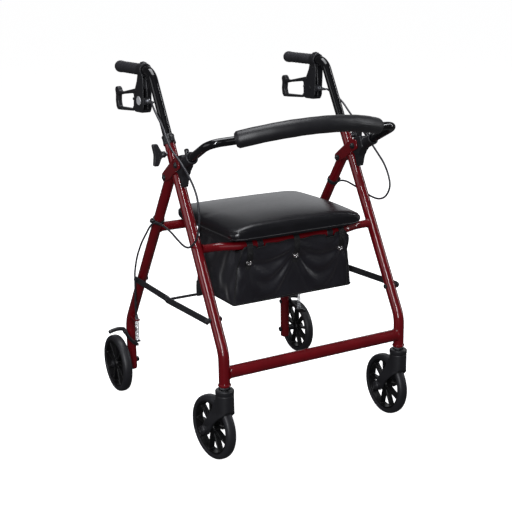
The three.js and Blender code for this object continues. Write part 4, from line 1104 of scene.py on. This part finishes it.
def bag_front_y(z):
    """The front panel leans out at its top to pass in front of the seat bar."""
    return BAG["front"] - 11.5 * smooth_step((z - 424) / 34)


def bag_rim(x, y):
    """Rim height: it dips round the seat hinges and the bar's ends, and is high at the sides and rear."""
    wide = np.abs(x)
    front = 475 - 7 * smooth_step((15 - np.abs(wide - HINGE_X)) / 3.5) - 9 * smooth_step((wide - 136) / 8)
    front = front - 1.5 * np.sin(x * 0.09)
    side = 461 + 27 * smooth_step((y + 176) / 16)
    return np.where(y < BAG["front"] + 4, front, side)


def bag_sheet():
    """The outer face of the bag: rows from the rim down the walls, round the bottom edge and inwards."""
    span = np.linspace(0, 1, AROUND, endpoint=False)
    middle_y, half_y = (BAG["front"] + BAG["rear"]) / 2, (BAG["rear"] - BAG["front"]) / 2

    def ring(half_x, half_depth, corner):
        loop = np.array(round_corners([(half_x, half_depth), (-half_x, half_depth), (-half_x, -half_depth),
                                       (half_x, -half_depth)], corner, 6))
        loop = np.vstack([loop, loop[:1]])
        length = distances(loop)
        at = span * length[-1]
        return np.interp(at, length, loop[:, 0]), np.interp(at, length, loop[:, 1]) + middle_y

    rows = []
    foot = BAG["low"] + 5
    for k in range(DOWN):
        t = k / (DOWN - 1)
        x, y = ring(BAG["top_half"] + (BAG["bottom_half"] - BAG["top_half"]) * t, half_y, BAG["corner"])
        z = bag_rim(x, y) * (1 - t) + foot * t
        y = np.where(y < BAG["front"] + 6, y + bag_front_y(z) - BAG["front"], y)
        rows.append(np.stack([x, y, z], axis=1))
    for a in (0.5, 1.0, 1.4):
        inset = 5 * (1 - math.cos(a))
        x, y = ring(BAG["bottom_half"] - inset, half_y - inset, BAG["corner"] - inset)
        rows.append(np.stack([x, y, np.full(AROUND, foot - 5 * math.sin(a))], axis=1))
    for scale in (0.85, 0.6, 0.35, 0.12):
        x, y = ring((BAG["bottom_half"] - 5) * scale + 20 * (1 - scale), (half_y - 5) * scale,
                    max(1, 6 * scale))
        rows.append(np.stack([x, y, np.full(AROUND, BAG["low"])], axis=1))
    faces = []
    for r in range(len(rows) - 1):
        for k in range(AROUND):
            n = (k + 1) % AROUND
            faces.append((r * AROUND + k, (r + 1) * AROUND + k, (r + 1) * AROUND + n, r * AROUND + n))
    faces.append(tuple((len(rows) - 1) * AROUND + k for k in range(AROUND))[::-1])
    return np.vstack(rows), faces


def bag_folds(p):
    """How far the cloth stands out, in mm, at points on the bag."""
    x, y, z = p.T
    depth = (BAG["top"] - z) / (BAG["top"] - BAG["low"])
    wall = smooth_step((depth + 0.02) / 0.08) * smooth_step((0.985 - depth) / 0.12)
    out = np.zeros(len(p))
    # Each panel hangs in swags from strap to strap.
    edges = (-BAG["bottom_half"], *STRAPS, BAG["bottom_half"])
    for panel, (a, b) in enumerate(zip(edges, edges[1:])):
        s = (x - (a + b) / 2) / ((b - a) / 2)
        drop = np.where(np.abs(s) <= 1, 1 - s**2, 0)
        size = 1.0 if b - a > 60 else 0.4
        lean = (0.16, -0.22, 0.2, -0.1)[panel]
        for start, deep, tall, sharp in SWAGS:
            line = start + deep * drop + lean * s * (0.25 + depth)
            out += size * tall * np.exp(-(((depth - line) / sharp) ** 2)) * drop**0.4
            out -= size * tall * 0.55 * np.exp(-(((depth - line - 1.5 * sharp) / sharp) ** 2)) * drop**0.4
    # Creases fan out below each strap, and the ends fold upright.
    for k, strap in enumerate(STRAPS):
        for j in range(5):
            slope = (j - 2) * 0.5 + 0.16 * math.sin(k * 2.3 + j * 1.7)
            line = strap + slope * (BAG["top"] - z) * (1 + 0.2 * np.sin(depth * 4 + j + k))
            size = 1.6 * (1 if (j + k) % 2 else -0.8)
            out += size * np.exp(-(((x - line) / (6 + 12 * depth)) ** 2)) * np.exp(-depth * 2.2)
    side = smooth_step((np.abs(x) - BAG["top_half"] + 3) / 5) * smooth_step((y - BAG["front"] - 2) / 10)
    out = np.where(side > 0.5, 0, out)
    out += side * (3.4 * np.sin(y * 0.062 + 1.5 * np.sin(z * 0.026)) + 1.8 * np.sin(y * 0.13 + z * 0.05)
                   + 1.0 * np.sin(z * 0.1 - y * 0.05))
    out += 1.3 * np.sin(x * 0.032 + z * 0.05 + 1.9 * np.sin(x * 0.017))
    out += 0.5 * np.sin(x * 0.09 - z * 0.07 + 0.6)
    belly = 3.0 * np.sin(np.pi * clamp(depth)) ** 1.2
    return (out * 0.8 + belly) * wall


def bag():
    verts, faces = bag_sheet()
    middle_y = (BAG["front"] + BAG["rear"]) / 2
    out = bag_folds(verts)
    x, y, z = verts.T
    widening = BAG["bottom_half"] - BAG["top_half"]
    edge = BAG["top_half"] + widening * (BAG["top"] - z) / (BAG["top"] - BAG["low"])
    on_side = np.abs(x) > edge - 3
    away_x = np.where(on_side, np.sign(x), 0)
    away_y = np.where(np.abs(y - middle_y) > 92, np.sign(y - middle_y), 0)
    away = np.stack([away_x, away_y, np.zeros(len(x))], axis=1)
    away /= np.maximum(np.linalg.norm(away, axis=1)[:, None], 1)
    # The corner seams hold the cloth, so the folds die out towards them.
    from_ends = np.minimum(np.abs(y - BAG["front"]), np.abs(y - BAG["rear"]))
    room = np.where(on_side, from_ends, np.minimum(np.abs(np.abs(x) - edge), from_ends + 40))
    verts = verts + away * (out * (0.25 + 0.75 * smooth_step(room / 16)))[:, None]
    obj = temp((verts, faces))
    thick = obj.modifiers.new("thick", "SOLIDIFY")
    thick.thickness, thick.offset = 1.8, -1
    shell = mesh_arrays(obj)
    discard(obj)
    pieces = [piece("bag_cloth", shell, "nylon", "front_frame", ["bag"], sharp=0)]
    # Bound seams: round the rim, round the bottom edge and up the four corners.
    rim = verts[:AROUND]
    pieces.append(piece("bag_rim_binding", sweep([*rim, rim[0]], 1.9, 8, False), "webbing", "front_frame"))
    row = verts[(DOWN - 1) * AROUND : DOWN * AROUND]
    pieces.append(piece("bag_bottom_binding", sweep([*row, row[0]], 1.6, 8, False), "webbing", "front_frame"))
    corners = []
    for sx in (-1, 1):
        for sy in (-1, 1):
            score = sx * rim[:, 0] + sy * (rim[:, 1] - middle_y)
            k = int(np.argmax(score))
            line = verts[k : DOWN * AROUND : AROUND] + np.array((sx * 0.8, sy * 0.8, 0))
            corners.append(sweep(line, 1.7, 8))
    pieces.append(piece("bag_corner_seams", joined(*corners), "webbing", "front_frame"))
    for obj in pieces:
        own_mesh(obj)
    ribbons, snaps = [], []
    for centre in STRAPS:
        path = [(centre, bag_front_y(z) - 3.4, z) for z in (418, 428, 437, 447, 457, 466)]
        # Over the seat bar and down behind it.
        path += [(centre, y, z) for y, z in ((-206.6, 474), (-204.6, 481.5), (-199.5, 486.4), (-191.4, 488.2),
                                             (-183.6, 486), (-179.6, 479.5), (-179.2, 470), (-182, 458))]
        ribbons.append(strap_ribbon(path, 15, 1.5))
        at = (centre, bag_front_y(SNAP_Z) - 4.2, SNAP_Z)
        snaps.append(lathe([(3.4, 0), (7.0, 0), (7.5, 0.8), (7.2, 1.9), (6.2, 2.9), (5.0, 3.0), (4.0, 2.0),
                            (3.4, 0.6), (3.4, 0)], at, (0, -1, 0.1), 40))
        snaps.append(dome(at, (0, -1, 0.1), 2.2, 1.4))
    straps = piece("bag_straps", joined(*ribbons), "webbing", "front_frame")
    snap = piece("bag_snaps", joined(*snaps), "chrome", "front_frame")
    for obj in (straps, snap):
        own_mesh(obj)


def strap_ribbon(path, width, thick):
    """A flat strap of webbing along a path that stays at one X."""
    p = np.array(spline(path, 60))
    t = np.gradient(p, axis=0)
    t /= np.linalg.norm(t, axis=1)[:, None]
    normal = np.stack([np.zeros(len(p)), -t[:, 2], t[:, 1]], axis=1)
    half, h = width / 2, thick / 2
    section = [(-half, -h), (-half + 0.6, -h - 0.1), (half - 0.6, -h - 0.1), (half, -h), (half, h),
               (half - 0.6, h + 0.1), (-half + 0.6, h + 0.1), (-half, h)]
    verts = [at + np.array((u, 0, 0)) + way * v for at, way in zip(p, normal) for u, v in section]
    return np.array(verts), ring_faces(len(p), len(section))


def pull_strap():
    """A loop of webbing round the cross rod, beside the bag."""
    y, z = BRACE["middle"]
    centre = -173
    path = [(centre, y + 4.4 * math.cos(a), z + 4.4 * math.sin(a))
            for a in np.linspace(0.1, -math.pi - 0.1, 12)]
    path = [(centre, y + 2.4, z + 34), (centre, y + 3.6, z + 24), (centre, y + 4.6, z + 14), *path,
            (centre, y - 4.6, z + 14), (centre, y - 2.6, z + 24), (centre, y + 0.2, z + 34)]
    piece("pull_strap", strap_ribbon(path, 12, 1.4), "webbing", "rear_braces")


# ---- brake cables: the same route as the part's solids, in three lengths, of which only the lowest rides on a frame, the rear one ----
CABLE_R = 2.4
CABLE_END = [(264, 143, 353), (264, 145.5, 328), (262, 153, 296), (257, 168, 262), (252, 180, 238),
             (248.5, 185.5, 222), (248, 186, 212)]
CABLE_ROUTE = {
    "left": [(243, 40, 786), (250, 24, 783), (255.5, -10, 764), (256, -45, 737), (260, -72, 716),
             (262, -103, 693), (262, -146, 672), (262, -188, 645), (261, -217, 612), (261, -227, 575),
             (260.5, -223, 540), (260, -205, 508), (259, -172, 486), (258, -140, 481), (257, -104, 488),
             (256, -66, 498), (257, -25, 505), (258, 14, 505), (258.5, 44, 491), (259, 72, 466),
             (260, 104, 433), (262, 130, 393), *CABLE_END],
    "right": [(243, 40, 786), (250, 20, 777), (255.5, -14, 757), (256, -44, 735), (260, -80, 706),
              (262, -118, 676), (262, -155, 648), (262, -186, 622), (261, -207, 592), (261, -210, 568),
              (260.5, -195, 545), (260, -169, 534), (259, -138, 535), (258, -104, 543), (257, -66, 551),
              (257, -30, 556), (258, 4, 550), (258.5, 30, 528), (258.5, 54, 500), (259, 80, 466),
              (260, 106, 433), (262, 131, 393), *CABLE_END],
}


def cable(side, name):
    route = spline([(side * x, y, z) for x, y, z in CABLE_ROUTE[name]], 420)
    guide = int(np.argmin(np.linalg.norm(route - np.array((side * 262, -203, 600)), axis=1)))
    clip = int(np.argmin(np.linalg.norm(route - np.array((side * 258.5, 44, 493)), axis=1)))
    upper = piece(f"cable_upper_{name}", sweep(route[: guide + 1], CABLE_R, 14), "cable", None,
                  [f"brake_cable_{name}"])
    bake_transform(upper)
    loop = piece(f"cable_loop_{name}", sweep(route[guide : clip + 1], CABLE_R, 14), "cable", None,
                 [f"brake_cable_{name}"])
    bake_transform(loop)
    piece(f"cable_lower_{name}", sweep(route[clip:], CABLE_R, 14), "cable", "rear_frame",
          [f"brake_cable_{name}"])


# ---- camera, lights and floor ----
LIGHTS = (  # name, place, size, power
    ("strip_left", (-1.6, -2.4, 1.6), (0.2, 2.6), 66),
    ("strip_right", (2.5, -0.9, 1.4), (0.14, 2.4), 16),
    ("top", (0.0, 0.2, 2.9), (1.6, 1.6), 42),
    ("back", (1.7, 2.9, 1.15), (3.4, 1.5), 13),
    ("fill", (-1.2, -3.6, 1.8), (2.2, 1.6), 7),
    ("left", (-3.3, 0.1, 1.3), (2.6, 1.8), 17),
)


def studio():
    yaw, pitch, roll = math.radians(29.508), math.radians(15.325), math.radians(-0.882)
    ahead = Vector((math.sin(yaw) * math.cos(pitch), math.cos(yaw) * math.cos(pitch), -math.sin(pitch)))
    right = Vector((math.cos(yaw), -math.sin(yaw), 0))
    up = right.cross(ahead)
    right, up = right * math.cos(roll) + up * math.sin(roll), up * math.cos(roll) - right * math.sin(roll)
    camera = new_object("camera", bpy.data.cameras.new("camera"))
    turned = Matrix((right, up, -ahead)).transposed().to_4x4()
    camera.matrix_world = Matrix.Translation((-1.1894, -2.1216, 1.0525)) @ turned
    camera.data.lens, camera.data.sensor_width = 70.48, 36
    camera.data.shift_x, camera.data.shift_y = -0.0036, 0.0011
    camera.data.clip_end = 500
    bpy.context.scene.camera = camera

    world = bpy.data.worlds.new("studio")
    bpy.context.scene.world = world
    world.use_nodes = True
    nodes, links = world.node_tree.nodes, world.node_tree.links
    background = nodes["Background"]
    rays, mix = nodes.new("ShaderNodeLightPath"), nodes.new("ShaderNodeMix")
    mix.data_type = "RGBA"
    mix.inputs["A"].default_value = (0.05, 0.05, 0.052, 1)
    mix.inputs["B"].default_value = (1.05, 1.05, 1.05, 1)
    links.new(rays.outputs["Is Camera Ray"], mix.inputs["Factor"])
    links.new(mix.outputs["Result"], background.inputs["Color"])

    for label, place, size, power in LIGHTS:
        lamp = bpy.data.lights.new(label, "AREA")
        lamp.color = (0.955, 0.97, 1.0)
        lamp.shape, lamp.size, lamp.size_y, lamp.energy = "RECTANGLE", *size, power
        obj = new_object(label, lamp)
        obj.location = place
        obj.rotation_euler = (Vector((0, 0, 0.45)) - Vector(place)).to_track_quat("-Z", "Y").to_euler()

    reach = 200
    mesh = bpy.data.meshes.new("floor")
    corners = [(-reach, -reach, 0), (reach, -reach, 0), (reach, reach, 0), (-reach, reach, 0)]
    mesh.from_pydata(corners, [], [(0, 1, 2, 3)])
    floor = new_object("floor", mesh)
    material = surface("floor", (0.9, 0.9, 0.9), 0.9, 0.0, 0.0, 0.02)
    shader = material.node_tree.nodes["Principled BSDF"]
    shader.inputs["Emission Color"].default_value = (1, 1, 1, 1)
    shader.inputs["Emission Strength"].default_value = 0.95
    shader.inputs["Specular IOR Level"].default_value = 0.0
    mesh.materials.append(material)
    floor.visible_glossy = floor.visible_diffuse = False
    bpy.context.scene.view_settings.view_transform = "Standard"


# ---- the whole ----
studio()
crossbars()
cross_rod()
for side_name, side_sign in SIDES:
    for make in (front_leg, fold_bracket, height_collar, height_knob, rear_leg, rear_axle, braces, rear_wheel,
                 caster, rear_brake, handle, brake_housing, brake_lever, backrest_socket, seat_hinge, cable):
        make(side_sign, side_name)
pull_strap()
cable_clip(-1, 505, "left")
cable_clip(1, 556, "right")
backrest()
seat()
bag()
